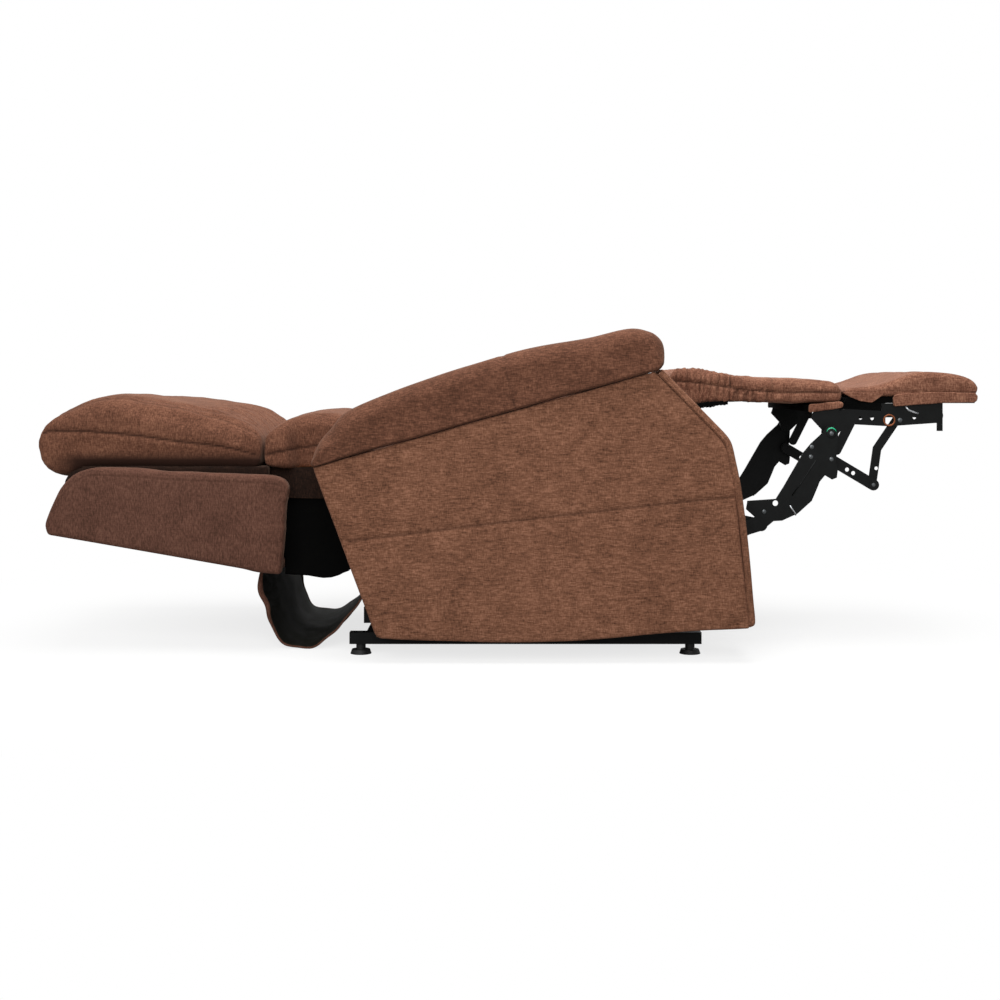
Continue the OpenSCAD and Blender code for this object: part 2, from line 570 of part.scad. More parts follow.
// ---- Leg rest linkage ----
module crank(pivot, end) slab(crank_layer, link_t) difference() {
    strap([pivot, end], 26);
    translate(end) circle(d = rivet_d + 2 * pivot_play);
}
module front_cranks() color(black_steel) both_sides() {
    crank(front_crank_pivot, front_crank_end);
    rivet(front_crank_pivot, plate_layer, crank_layer + link_t, true, false);
}
module rear_cranks() color(black_steel) both_sides() crank(rear_crank_pivot, rear_crank_end);
module legrest_torque_tube() color(black_steel) {
    rod_y(rear_crank_pivot, cross_tube_d, -crank_layer, crank_layer);
    for (s = [-1, 1]) {
        slab(legrest_plane + s * 13 - bracket_t / 2, bracket_t) strap([rear_crank_pivot, legrest_lever_end], 26);
        rod_y(legrest_lever_end, rivet_d, legrest_plane + s * 8 - 2, legrest_plane + s * 8 + 2);
    }
}
module main_links() color(black_steel) both_sides() {
    slab(main_layer, link_t) difference() {
        polygon(main_link_outline);
        holes([legrest_pivot, drop_pivot], rivet_d + 2 * pivot_play);
        translate([559, 309]) circle(d = 12);
    }
    rivet(front_crank_end, crank_layer, main_layer + 1, true, false);
    rivet(rear_crank_end, crank_layer, main_layer + 1, true, false);
}
bracket_route = [legrest_pivot, [712, 492], [805, 487], [905, 494]];
module legrest_brackets() color(black_steel) both_sides() {
    slab(bracket_layer, link_t) difference() {
        union() {
            strap(bracket_route, 32);
            strap([[724, 480], [694, 420]], 20);
            polygon([[646, 506], [640, 488], [664, 462], [700, 470], [700, 508]]);
            translate([908, 461]) square([12, 60]);
        }
        translate([806, 484]) circle(d = 19);
        holes([[745, 489], [770, 488], [860, 490]], 8);
    }
    // Flanges that carry the boards
    translate([646, bracket_layer - 30, 506]) cube([52, 30 + link_t, 2]);
    translate([822, bracket_layer - 30, 518]) cube([98, 30 + link_t, 2]);
    slab(bracket_layer, link_t) translate([790, 490]) square([130, 30]);
    rivet(legrest_pivot, bracket_layer, main_layer + link_t, true, false);
}
module calf_board() color(black_cloth)
    translate([545, -leg_pad_half + 10, 508.3]) cube([165, 2 * leg_pad_half - 20, 12]);
module foot_board() color(black_cloth)
    translate([716, -leg_pad_half + 10, 520.3]) cube([274, 2 * leg_pad_half - 20, 13]);
module calf_pad() color(brown)
    cushion(smooth(calf_pad_outline, 2), [[500, 553], [675, 545]], 0, leg_pad_half, 12, 2);
module foot_pad() color(brown)
    cushion(smooth(foot_pad_outline, 2), [[745, 556], [960, 556]], 0, leg_pad_half, 12, 2);
module drop_links() color(black_steel) both_sides() {
    slab(drop_layer, link_t) difference() {
        strap([drop_pivot, drop_end], 24);
        holes([[715, 379], [728, 371.5]], 9);
        holes([drop_end], rivet_d + 2 * pivot_play);
    }
    rivet(drop_pivot, drop_layer, main_layer + link_t, true, false);
}
module strut_links() color(black_steel) both_sides() {
    slab(strut_layer, link_t) difference() {
        strap([drop_end, strut_bend, strut_top], 18);
        translate([780, 381]) circle(d = 8);
    }
    rivet(drop_end, strut_layer, drop_layer + link_t, true, true);
    // The pin stops short of the bracket: the linkage is open here
    rod_y(strut_top, 6, strut_layer, bracket_layer - washer_gap / 4);
}

base_rails();
base_cross_tubes();
front_feet();
rear_feet();
base_brackets();
base_pins();
power_unit();
lift_arms();
lift_cross_tube();
lift_pins();
stabiliser_links();
lift_motor();
lift_rod();
carriage_rails();
lift_hangers();
carriage_cross_tubes();
mechanism_plates();
seat_side_rails();
seat_cross_rails();
seat_springs();
seat_cushion();
seat_front_roll();
arm_frame(1);  // arm_frame_left
arm_frame(-1);  // arm_frame_right
arm_outer(1);  // arm_outer_left
arm_outer(-1);  // arm_outer_right
arm_inner(1);  // arm_inner_left
arm_inner(-1);  // arm_inner_right
arm_border(1);  // arm_border_left
arm_border(-1);  // arm_border_right
arm_pad(1);  // arm_pad_left
arm_pad(-1);  // arm_pad_right
recline_motor();
recline_rod();
legrest_motor();
legrest_rod();
back_side_rails();
back_cross_rails();
back_springs();
back_panel();
back_wing(1);  // back_wing_left
back_wing(-1);  // back_wing_right
back_liners();
upper_back_cushion();
lumbar_cushion();
lower_back_roll();
recline_brackets();
recline_lever_bar();
rear_flap();
front_cranks();
rear_cranks();
legrest_torque_tube();
main_links();
legrest_brackets();
calf_board();
foot_board();
calf_pad();
foot_pad();
drop_links();
strut_links();
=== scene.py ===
"""Finishes of a power lift recliner that lies flat: woven chenille upholstery over foam on a black steel base.

Lengths in the shape functions are millimetres in the chair's own frame: +X to the feet, +Y to the sitter's
left, +Z up. put() turns them to metres. Side outlines are lists of (x, z).
"""
import math

import bmesh
import bpy
import numpy as np
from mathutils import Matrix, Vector
from mathutils.bvhtree import BVHTree


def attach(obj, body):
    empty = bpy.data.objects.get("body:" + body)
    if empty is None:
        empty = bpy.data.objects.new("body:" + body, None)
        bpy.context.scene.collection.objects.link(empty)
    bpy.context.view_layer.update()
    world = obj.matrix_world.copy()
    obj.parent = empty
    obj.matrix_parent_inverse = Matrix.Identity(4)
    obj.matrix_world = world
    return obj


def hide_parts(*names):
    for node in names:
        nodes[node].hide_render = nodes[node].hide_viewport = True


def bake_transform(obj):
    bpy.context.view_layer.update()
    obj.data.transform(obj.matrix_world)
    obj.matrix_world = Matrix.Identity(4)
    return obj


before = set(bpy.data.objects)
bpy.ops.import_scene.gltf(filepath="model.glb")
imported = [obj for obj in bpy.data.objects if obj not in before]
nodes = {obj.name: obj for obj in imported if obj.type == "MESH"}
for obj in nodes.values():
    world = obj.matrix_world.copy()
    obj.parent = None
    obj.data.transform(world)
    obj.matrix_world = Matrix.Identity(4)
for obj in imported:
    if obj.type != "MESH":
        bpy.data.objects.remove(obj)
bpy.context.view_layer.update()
MM = 0.001
TURN = 6.283  # radians, for ripples
scene = bpy.context.scene

# ---- Camera: level, in front of the sitter's right side, horizon at the height of the arms ----
camera_data = bpy.data.cameras.new("side_view")
camera_data.sensor_width = 36
camera_data.lens = 54.25
camera_data.shift_y = -0.122
camera_data.clip_end = 60
camera = bpy.data.objects.new("side_view", camera_data)
camera.location = (-0.024, -3.454, 0.574)
camera.rotation_euler = (math.radians(90), 0, 0)
scene.collection.objects.link(camera)
scene.camera = camera


# ---- Materials ----
def shade(hex_colour):
    """sRGB hex to linear RGBA."""
    srgb = [int(hex_colour[i:i + 2], 16) / 255 for i in (1, 3, 5)]
    return [c / 12.92 if c <= 0.04045 else ((c + 0.055) / 1.055) ** 2.4 for c in srgb] + [1]


def add(tree, kind, inputs=None, ramp=None, **settings):
    """Adds one node, sets its properties, and gives each input a value or links it from a socket."""
    made = tree.nodes.new("ShaderNode" + kind)
    for key, value in settings.items():
        setattr(made, key, value)
    for key, value in (inputs or {}).items():
        if isinstance(value, bpy.types.NodeSocket):
            tree.links.new(value, made.inputs[key])
        else:
            made.inputs[key].default_value = value
    if ramp:
        stops = made.color_ramp.elements
        while len(stops) < len(ramp):
            stops.new(0.5)
        for stop, (place, colour) in zip(stops, ramp):
            stop.position, stop.color = place, colour
    return made


def material(name):
    """An empty node material with its tree and output."""
    made = bpy.data.materials.new(name)
    made.use_nodes = True
    tree = made.node_tree
    tree.nodes.clear()
    return made, tree, tree.nodes.new("ShaderNodeOutputMaterial")


def noise(tree, where, scale, detail, rough):
    """The value of a cloudy noise."""
    made = add(tree, "TexNoise", {"Vector": where, "Scale": scale, "Detail": detail, "Roughness": rough})
    return made.outputs["Fac"]


def mixed(tree, share, a, b):
    """A value share of the way from a to b."""
    return add(tree, "Mix", {"Factor": share, "A": a, "B": b}, data_type="FLOAT").outputs[0]


def chenille(name, dark, mid, light, turn=0.0, streak=0.6):
    """Woven polyester chenille: fuzzy slub yarns 2 to 3 mm thick that run across, crossed by finer upright ones.
    The yarns are drawn twice as thick as real ones, because real ones are finer than a pixel here. The pile
    gives the eye a matt, mottled heather with a faint sheen at grazing angles."""
    made, tree, out = material(name)
    where = add(tree, "TexCoord").outputs["Object"]
    across = add(tree, "Mapping", {"Vector": where, "Rotation": (0, turn, 0), "Scale": (80, 390, 390)})
    upright = add(tree, "Mapping", {"Vector": where, "Rotation": (0, turn, 0), "Scale": (430, 430, 120)})
    slub = noise(tree, across.outputs[0], 1.0, 3.0, 0.6)
    cross = noise(tree, upright.outputs[0], 1.0, 2.0, 0.6)
    patch = noise(tree, where, 26.0, 5.0, 0.62)
    nap = noise(tree, where, 6.0, 2.0, 0.5)
    yarns = mixed(tree, 1 - streak, slub, cross)
    tone = mixed(tree, 0.08, mixed(tree, 0.22, yarns, patch), nap)
    colour = add(tree, "ValToRGB", {"Fac": tone},
                 ramp=[(0.36, shade(dark)), (0.5, shade(mid)), (0.64, shade(light))])
    # Painted shade: a point attribute darkens the colour towards deep brown in seam grooves, pucker valleys and under
    # the upper pillow
    seam_shade = add(tree, "Attribute", attribute_name="seam_shade")
    shaded_colour = add(tree, "Mix", {"Factor": seam_shade.outputs["Fac"], "A": colour.outputs[0], "B": shade("#2c1a13")},
               data_type="RGBA")
    bump = add(tree, "Bump", {"Height": mixed(tree, 0.3, yarns, patch), "Strength": 0.4, "Distance": 0.0018})
    pile = add(tree, "BsdfPrincipled", {"Base Color": shaded_colour.outputs["Result"], "Roughness": 0.93,
                                        "Specular IOR Level": 0.12, "Sheen Weight": 0.14,
                                        "Sheen Roughness": 0.45, "Sheen Tint": shade("#d9b39c"),
                                        "Normal": bump.outputs[0]})
    tree.links.new(pile.outputs[0], out.inputs[0])
    return made


def coated(name, colour, rough, grain, bump_mm, metallic=0.0, spread=0.12, specular=0.5, wear=None):
    """A hard finish with a fine uneven surface: powder coat, zinc plate, moulded plastic or planed timber.
    Roughness varies by spread about rough, and wear is a second colour on the high spots."""
    made, tree, out = material(name)
    where = add(tree, "TexCoord").outputs["Object"]
    fine = noise(tree, where, grain, 4.0, 0.6)
    wide = noise(tree, where, grain / 14, 3.0, 0.5)
    tint = add(tree, "ValToRGB", {"Fac": mixed(tree, 0.5, fine, wide)},
               ramp=[(0.4, shade(colour)), (0.72, shade(wear or colour))])
    gloss = add(tree, "MapRange", {"Value": wide, "To Min": rough - spread, "To Max": rough + spread})
    bump = add(tree, "Bump", {"Height": fine, "Strength": 0.4, "Distance": bump_mm * MM})
    skin = add(tree, "BsdfPrincipled", {"Base Color": tint.outputs[0], "Roughness": gloss.outputs[0],
                                        "Metallic": metallic, "Specular IOR Level": specular,
                                        "Normal": bump.outputs[0]})
    tree.links.new(skin.outputs[0], out.inputs[0])
    return made


# One chenille on every padded piece, in copies of different colour. Its pile leans another way on each, so each
# looks lighter or darker: on the arms the yarns run along the arm, on the arm pads they follow the slope. The darker
# colours of the arm pads and wings are partly that and partly painted shade, and the cover's near black is painted
# shade.
arm_cloth = chenille("chenille_arm_panel", "#492f22", "#754f3c", "#996c55")
pad_cloth = chenille("chenille_arm_pad", "#3d261b", "#603e2f", "#835945", turn=math.radians(-15))
wing_cloth = chenille("chenille_back_wing", "#422c22", "#5d3e33", "#725042", streak=0.28)
back_cloth = chenille("chenille_back_cushion", "#472d21", "#6b4636", "#8c614b", streak=0.38)
# Painted shade: a near-black copy of the chenille for the rail covers and boxing, which lie in shade between and
# under the pillows
cover_cloth_in_painted_shade = chenille("chenille_back_cover_painted_shade", "#140c09", "#241711", "#36241c", streak=0.38)
leg_cloth = chenille("chenille_leg_rest", "#4b2e22", "#7a5140", "#a3765e", streak=0.45)
# Spunbond polypropylene: thin black cloth that closes the underside; matt, with a faint emboss.
dust_lining = coated("spunbond_lining", "#050505", 0.9, 900, 0.3, specular=0.05, wear="#0b0b0a")
# Coated woven backing inside the rear flap: black with an olive cast.
flap_lining = coated("coated_flap_backing", "#0b0c08", 0.8, 500, 0.5, specular=0.1, wear="#1d1c12")
# Powder-coated steel: black, slightly orange-peeled, half gloss.
powder_coat = coated("black_powder_coat", "#070808", 0.44, 700, 0.12, specular=0.14, wear="#0d0f0f")
# Zinc plate on springs, pins and clips: bright, faintly cloudy.
zinc = coated("bright_zinc_plate", "#9da0a3", 0.32, 600, 0.05, metallic=1.0, wear="#b9bbbd")
# Ground and chromed actuator rods: mirror-like, with the faintest grinding marks.
chrome_rod = coated("ground_steel_rod", "#b5b7ba", 0.16, 900, 0.02, metallic=1.0, spread=0.05)
# Moulded ABS: black, softly glossy, finely textured by the mould.
housing = coated("moulded_black_abs", "#0d0d0e", 0.55, 1400, 0.1, specular=0.25, wear="#131314")
# Glass-filled nylon feet: dark grey, dull.
foot_rubber = coated("black_nylon_foot", "#0c0c0c", 0.6, 500, 0.15, specular=0.35, wear="#151515")
# Planed beech ply: pale brown, with darker pores.
timber = coated("planed_beech_ply", "#a98760", 0.6, 160, 0.2, specular=0.3, wear="#c2a27a")
# Sintered bronze bush: warm brown metal, dull with oil.
copper_ring = coated("bronze_bush", "#7a4326", 0.5, 500, 0.1, metallic=0.6, wear="#8f5735")
# Dyed nylon washer: clear green, waxy.
green_washer = coated("green_nylon_washer", "#18a877", 0.45, 500, 0.05, wear="#2bc08c")
# Cold-headed steel rivets: grey, a little brighter on the crown of the head.
rivet_steel = coated("plain_steel_rivet", "#4c4f51", 0.38, 500, 0.05, metallic=0.8, wear="#6d7072")


# ---- Shape helpers ----
def rise(value, start, end):
    """0 at start, 1 at end, straight between and level beyond."""
    return np.clip((value - start) / (end - start), 0, 1)


def smooth_rise(value, start, end):
    """The same, as 3 s^2 - 2 s^3, so that it leaves and arrives level."""
    s = rise(value, start, end)
    return s**2 * (3 - 2 * s)


def smooth_loop(points, per):
    """Catmull-Rom through a closed outline: each span is the cubic of its four nearest points, cut in per steps."""
    b = np.asarray(points, float)
    a, c, d = np.roll(b, 1, 0), np.roll(b, -1, 0), np.roll(b, -2, 0)
    t = (np.arange(per) / per)[None, :, None]
    a, b, c, d = (q[:, None] for q in (a, b, c, d))
    return (0.5 * (2 * b + (c - a) * t + (2 * a - 5 * b + 4 * c - d) * t**2
                   + (3 * b - a - 3 * c + d) * t**3)).reshape(-1, 2)


def smooth_line(points, per):
    """Catmull-Rom through an open line; the end points are doubled."""
    p = np.asarray(points, float)
    p = np.vstack([2 * p[0] - p[1], p, 2 * p[-1] - p[-2]])
    a, b, c, d = (p[i:len(p) - 3 + i][:, None] for i in range(4))
    t = (np.arange(per) / per)[None, :, None]
    spans = 0.5 * (2 * b + (c - a) * t + (2 * a - 5 * b + 4 * c - d) * t**2 + (3 * b - a - 3 * c + d) * t**3)
    return np.vstack([spans.reshape(-1, p.shape[1]), p[-2]])


def even(points, count, closed=True):
    """The same line as count points at even steps of its length."""
    p = np.vstack([points, points[:1]]) if closed else np.asarray(points, float)
    far = np.concatenate([[0], np.cumsum(np.linalg.norm(np.diff(p, axis=0), axis=1))])
    at = np.linspace(0, far[-1], count, endpoint=not closed)
    return np.stack([np.interp(at, far, p[:, k]) for k in range(p.shape[1])], 1)


def form(points, count, per=8):
    """A closed side outline, smooth through its points, as count points at even steps."""
    return even(smooth_loop(points, per), count)


def rounded(points, radius, per=5):
    """A polygon with each corner cut back by radius and bridged by a quadratic curve."""
    p = np.asarray(points, float)
    radius = np.broadcast_to(radius, len(p))
    out = []
    for i in range(len(p)):
        back, on = p[i - 1] - p[i], p[(i + 1) % len(p)] - p[i]
        r = min(radius[i], 0.45 * np.linalg.norm(back), 0.45 * np.linalg.norm(on))
        start, end = p[i] + r * back / np.linalg.norm(back), p[i] + r * on / np.linalg.norm(on)
        t = np.linspace(0, 1, per)[:, None]
        out.append((1 - t)**2 * start + 2 * t * (1 - t) * p[i] + t**2 * end)
    return np.vstack(out)


def shifted(line, by):
    """An open line moved sideways by by, to its left, with mitred corners."""
    p = np.asarray(line, float)
    way = np.diff(p, axis=0)
    way /= np.linalg.norm(way, axis=1)[:, None]
    side = np.stack([-way[:, 1], way[:, 0]], 1)
    mean = np.vstack([side[:1], side]) + np.vstack([side, side[-1:]])
    return p + by * mean * (2 / np.maximum((mean**2).sum(1), 0.5))[:, None]


def at_y(line, y):
    """A side line as points in space at y, one value or one for each point."""
    line = np.asarray(line, float)
    return np.column_stack([line[:, 0], np.broadcast_to(y, len(line)), line[:, 1]])


def put(name, points, faces, *finishes, closed=True):
    """Makes a mesh piece from points in millimetres and faces, welded, with its normals outwards."""
    mesh = bpy.data.meshes.new(name)
    faces = faces if isinstance(faces, list) else faces.tolist()
    mesh.from_pydata((np.asarray(points, float).reshape(-1, 3) * MM).tolist(), [], faces)
    piece = bpy.data.objects.new(name, mesh)
    scene.collection.objects.link(piece)
    for finish in finishes:
        mesh.materials.append(finish)
    weld(piece, closed)
    return piece


def weld(piece, closed):
    """Merges points closer than 0.02 mm, drops flat faces and turns a closed piece's faces outwards."""
    work = bmesh.new()
    work.from_mesh(piece.data)
    bmesh.ops.remove_doubles(work, verts=work.verts, dist=0.02 * MM)
    bmesh.ops.dissolve_degenerate(work, dist=0.01 * MM, edges=work.edges)
    if closed:
        bmesh.ops.recalc_face_normals(work, faces=work.faces)
    work.to_mesh(piece.data)
    work.free()
    piece.data.shade_smooth()
    piece.data.update()


def lattice(rows, columns, wrap_rows=False, wrap_columns=True):
    """Quads that join a grid of rows by columns points; a wrapped way closes on itself."""
    r = np.arange(rows if wrap_rows else rows - 1)[:, None]
    c = np.arange(columns if wrap_columns else columns - 1)[None, :]
    r2, c2 = (r + 1) % rows, (c + 1) % columns
    return np.stack([r * columns + c, r * columns + c2, r2 * columns + c2, r2 * columns + c], -1).reshape(-1, 4)


def pulled(outline, core, inset):
    """Each outline point moved towards the nearest point of the core segment by inset, at most 70% of the way.
    inset is one value, or low and high for points under and over the core, mixed by the sine of their slope."""
    a, b = np.asarray(core, float)
    way = b - a
    t = np.clip(((outline - a) @ way) / (way @ way), 0, 1)[:, None]
    to_core = a + t * way - outline
    far = np.linalg.norm(to_core, axis=1)[:, None]
    up = np.clip(0.5 - 0.9 * to_core[:, 1:] / far, 0, 1)
    by = inset[0] + (inset[1] - inset[0]) * up if np.ndim(inset) else inset
    return outline + to_core * np.minimum(by / far, 0.7), a + t * way


def pad(name, finish, outline, core, y0, y1, edge, across, turn=7, cap=10, crown=0.0, depth=None, ease=None):
    """A closed pad: its side outline swept from y0 to y1. Over the last depth millimetres of each side the
    outline is drawn in by edge * (1 - cos), as a quarter round, and each end closes by rings that shrink to the
    core. The middle of the upper side rises by crown, a height or a function of x, times 1 - |s|^3, where s runs
    from -1 to 1 across. ease(x) is the share of edge that holds at x, for ends that butt on another pad."""
    low, high = (edge, edge) if not np.ndim(edge) else edge
    depth = depth or max(low, high)
    near = [(y0 + depth * (1 - math.sin(a)), 1 - math.cos(a)) for a in np.linspace(math.pi / 2, 0, turn)]
    middle = [(y, 0.0) for y in np.linspace(y0 + depth, y1 - depth, across + 2)[1:-1]]
    rows = []
    for y, r in near + middle + [(y0 + y1 - y, r) for y, r in reversed(near)]:
        line, _ = pulled(outline, core, (low * r, high * r))
        if ease:
            line = outline + (line - outline) * ease(outline[:, 0])[:, None]
        lift = (crown(line[:, 0]) if callable(crown) else crown) * (1 - abs(2 * (y - y0) / (y1 - y0) - 1)**3)
        up = rise(line[:, 1] - np.interp(line[:, 0], *np.transpose(core)), 0, 40)
        rows.append(at_y(np.column_stack([line[:, 0], line[:, 1] + lift * up]), y))
    ends = []
    for row in (rows[0], rows[-1]):
        _, centre = pulled(row[:, [0, 2]], core, 0.0)
        centre = at_y(centre, row[0, 1])
        ends.append([centre + (row - centre) * s for s in np.linspace(1, 0, cap)[1:]])
    rows = ends[0][::-1] + rows + ends[1]
    return put(name, np.vstack(rows), lattice(len(rows), len(outline)), finish)


def to_line(points, line):
    """For each point, its distance to a line and how far along the line its nearest point lies."""
    best, along = np.full(len(points), 1e9), np.zeros(len(points))
    far = 0.0
    for a, b in zip(line[:-1], line[1:]):
        way = b - a
        size = float(way @ way)
        if size < 1e-12:
            continue
        t = np.clip(((points - a) @ way) / size, 0, 1)
        gap = np.linalg.norm(points - a - t[:, None] * way, axis=1)
        near = gap < best
        best[near], along[near] = gap[near], far + t[near] * math.sqrt(size)
        far += math.sqrt(size)
    return best, along


def read(piece):
    """A piece's points in millimetres and its outward normals."""
    mesh = piece.data
    co, no = np.empty(len(mesh.vertices) * 3), np.empty(len(mesh.vertices) * 3)
    mesh.vertices.foreach_get("co", co)
    mesh.vertices.foreach_get("normal", no)
    return co.reshape(-1, 3) / MM, no.reshape(-1, 3)


def write(piece, points):
    """Gives a piece its points, in millimetres."""
    piece.data.vertices.foreach_set("co", (points * MM).ravel())
    piece.data.update()


def darken(piece, amount):
    """Raises the painted shade on the cloth, held in a point attribute, to amount where it is lower."""
    layer = piece.data.attributes.get("seam_shade") or piece.data.attributes.new("seam_shade", "FLOAT", "POINT")
    old = np.empty(len(amount), np.float32)
    layer.data.foreach_get("value", old)
    layer.data.foreach_set("value", np.maximum(old, amount).astype(np.float32))


def seam_shade(piece, line, depth=2.5, width=4.0, dark=0.75, gather=0.0, wave=14.0, reach=26.0, seed=1, valley=0.0):
    """Sews a seam along line: points sink along their normals by depth * exp(-(d/width)^2), and the cloth beside
    it puckers by gather * sin of the way along, fading with exp(-d/reach). Painted shade, held in a point attribute,
    darkens the groove by dark, and by valley the bottoms of the puckers."""
    points, normals = read(piece)
    line = np.asarray(line, float)
    gap, along = to_line(points, line)
    bell = np.exp(-(gap / width)**2)
    move = -depth * bell
    shaded = dark * np.exp(-(gap / (width * 0.55))**2)
    if gather:
        random = np.random.default_rng(seed)
        a, b, c = random.uniform(0, 6.28, 3)
        slow, fast = wave * 4.7, wave * 0.61
        ripple = (np.sin(TURN * along / wave + a + 1.6 * np.sin(TURN * along / slow + b))
                  + 0.5 * np.sin(TURN * along / fast + c))
        move += gather * ripple * np.exp(-gap / reach) * (1 - 0.8 * bell)
        ends = rise(np.minimum(along, along.max() - along), 0, 2)
        shaded = np.maximum(shaded, valley * ends * rise(-ripple, 0.2, 1.2) * np.exp(-gap / reach))
    write(piece, points + normals * move[:, None])
    darken(piece, shaded)


def on_skin(piece, line):
    """The line with each point moved to the nearest point of a piece's skin."""
    tree = BVHTree.FromPolygons([v.co[:] for v in piece.data.vertices],
                                [p.vertices[:] for p in piece.data.polygons])
    return np.array([tree.find_nearest(Vector(point))[0] / MM for point in np.asarray(line, float) * MM])


def stitch(piece, line, y, **how):
    """The same seam on both sides of a piece: a side line, dropped on the skin from y."""
    for side in (-1, 1):
        seam_shade(piece, on_skin(piece, at_y(line, side * y)), **how)


def soften(piece, amount, size, seed, hold=None):
    """Uneven stuffing: points move along their normals by a sum of six slow sine waves in random directions.
    hold(points) is the share of the movement that each point keeps."""
    points, normals = read(piece)
    random = np.random.default_rng(seed)
    wave = np.zeros(len(points))
    for _ in range(6):
        way = random.normal(size=3)
        way *= TURN / (size * random.uniform(0.6, 1.6)) / np.linalg.norm(way)
        wave += np.sin(points @ way + random.uniform(0, 6.28))
    if hold:
        wave *= hold(points)
    write(piece, points + normals * (amount * wave / 2.5)[:, None])


def welt(name, line, radius, finish, sides=8):
    """A round cord: circles of radius carried along an open line, square to it, closed by a fan at each end."""
    p = np.asarray(line, float)
    way = np.gradient(p, axis=0)
    way /= np.linalg.norm(way, axis=1)[:, None]
    ref = np.where(np.abs(way[:, 1:2]) > 0.9, [[1.0, 0, 0]], [[0, 1.0, 0]])
    u = np.cross(way, ref)
    u /= np.linalg.norm(u, axis=1)[:, None]
    v = np.cross(way, u)
    a = np.linspace(0, 2 * math.pi, sides, endpoint=False)[None, :, None]
    rings = p[:, None] + radius * (np.cos(a) * u[:, None] + np.sin(a) * v[:, None])
    n = len(p) * sides
    caps = [[n, (i + 1) % sides, i] for i in range(sides)]
    caps += [[n + 1, n - sides + i, n - sides + (i + 1) % sides] for i in range(sides)]
    return put(name, np.vstack([rings.reshape(-1, 3), p[:1], p[-1:]]), lattice(len(p), sides).tolist() + caps, finish)


# A light, springy cover cloth, blown up without gravity
CLOTH = {"use_pressure": True, "uniform_pressure_force": 4.0, "quality": 4, "mass": 0.4, "tension_stiffness": 12,
         "compression_stiffness": 12, "shear_stiffness": 6, "bending_stiffness": 0.6}
CLOTH_FRAMES = 14


def inflate(piece, voxel, swell, floor, keep_in):
    """Blows the pad up as a sewn cloth bag: voxel remesh, cloth with pressure and no gravity, then the movement
    of each point is capped at swell and fades to nothing where floor(points) is 0, so the seat stays flat.
    keep_in is the box, as two corners, that the pad may fill."""
    remesh = piece.modifiers.new("even", "REMESH")
    remesh.mode, remesh.voxel_size, remesh.adaptivity = "VOXEL", voxel * MM, 0
    apply_all(piece)
    start, _ = read(piece)
    cloth = piece.modifiers.new("cloth", "CLOTH")
    cloth.settings.effector_weights.gravity = 0
    for key, value in CLOTH.items():
        setattr(cloth.settings, key, value)
    for step in range(1, CLOTH_FRAMES + 1):
        scene.frame_set(step)
    shape = piece.evaluated_get(bpy.context.evaluated_depsgraph_get()).data
    blown = np.empty(len(shape.vertices) * 3)
    shape.vertices.foreach_get("co", blown)
    piece.modifiers.remove(cloth)
    scene.frame_set(1)
    move = blown.reshape(-1, 3) / MM - start
    size = np.linalg.norm(move, axis=1)
    move *= np.minimum(1, swell / np.maximum(size, 1e-6))[:, None]
    write(piece, np.clip(start + move * floor(start)[:, None], *keep_in))
    even_out = piece.modifiers.new("fine", "SUBSURF")
    even_out.levels = even_out.render_levels = 1
    apply_all(piece)
    piece.data.shade_smooth()


def apply_all(piece):
    """Turns a piece with its modifiers into a plain mesh."""
    shape = piece.evaluated_get(bpy.context.evaluated_depsgraph_get())
    finished = bpy.data.meshes.new_from_object(shape)
    old = piece.data
    piece.modifiers.clear()
    piece.data = finished
    bpy.data.meshes.remove(old)


def mirrored(piece, name):
    """The same piece on the other side of the chair, with its faces turned back outwards."""
    twin = bpy.data.objects.new(name, piece.data.copy())
    scene.collection.objects.link(twin)
    points, _ = read(twin)
    write(twin, points * [1, -1, 1])
    twin.data.flip_normals()
    return twin


def dress(piece, body, replaced=None):
    """Rides the piece on its body and hides the solid that it stands for."""
    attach(piece, body)
    if replaced:
        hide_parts(replaced)


# ---- Sizes taken over from the solids: distances from the chair's middle ----
SEAT_HALF = 265.0  # arms, inner side
ARM_OUT = 434.0  # arm panels, outer face
PAD_OUT = 440.0  # arm pads, outer side
BACK_HALF = 297.8  # closing panel of the back
FLAP_HALF = 261.6  # rear flap
LEG_HALF = 244  # front roll, calf pad and foot pad
LEG_SKIN = 246  # a line just outside them, to drop seams from
LINK_FACE = 264.7  # main links, outer face
BRACKET_FACE = 240.7  # leg rest brackets, outer face
BAND = 13.0  # return of the front border on the side panel
SIDES = ((-1, "right"), (1, "left"))
front_line = np.array([[303, 591], [442, 447], [460, 366], [490, 72]], float)


def arm_top(x):
    """Height of the top of the arm's frame at x."""
    return 394 + (x + 400) * (591 - 394) / 703


def panel(name, outline, core, y_in, y_out, round_edge, finish, around=520, rings=60, bulge=0.0, band=26.0):
    """A padded board: rings from its outline to the core line on its outer face, evenly spaced inside and close
    together at the edge, where the face turns back by a quarter round of round_edge. The inner face is flat. The
    outer face swells by bulge * (1 - (1 - s)^2), s being the share of the way in from the edge over band."""
    line = even(outline, around)
    sign = 1 if y_out > y_in else -1
    fall = sign * min(round_edge, abs(y_out - y_in) - 1)
    back, _ = pulled(line, core, 1.0)
    edge_ring, centre = pulled(line, core, round_edge)
    rows = [(back + (centre - back) * s, y_in) for s in np.linspace(1, 0, 4)]
    rows += [(line, y_in + sign * 0.6), (line, y_out - fall)]
    for angle in np.linspace(0, math.pi / 2, 6)[1:]:
        ring, _ = pulled(line, core, round_edge * (1 - math.cos(angle)))
        rows.append((ring, y_out - fall * (1 - math.sin(angle))))
    reach = np.linalg.norm(centre - edge_ring, axis=1).mean()
    for s in np.linspace(0, 1, rings)[1:]:
        rows.append((edge_ring + (centre - edge_ring) * s,
                     y_out + sign * bulge * (1 - (1 - min(1, s * reach / band))**2)))
    return put(name, np.vstack([at_y(ring, y) for ring, y in rows]), lattice(len(rows), around), finish)


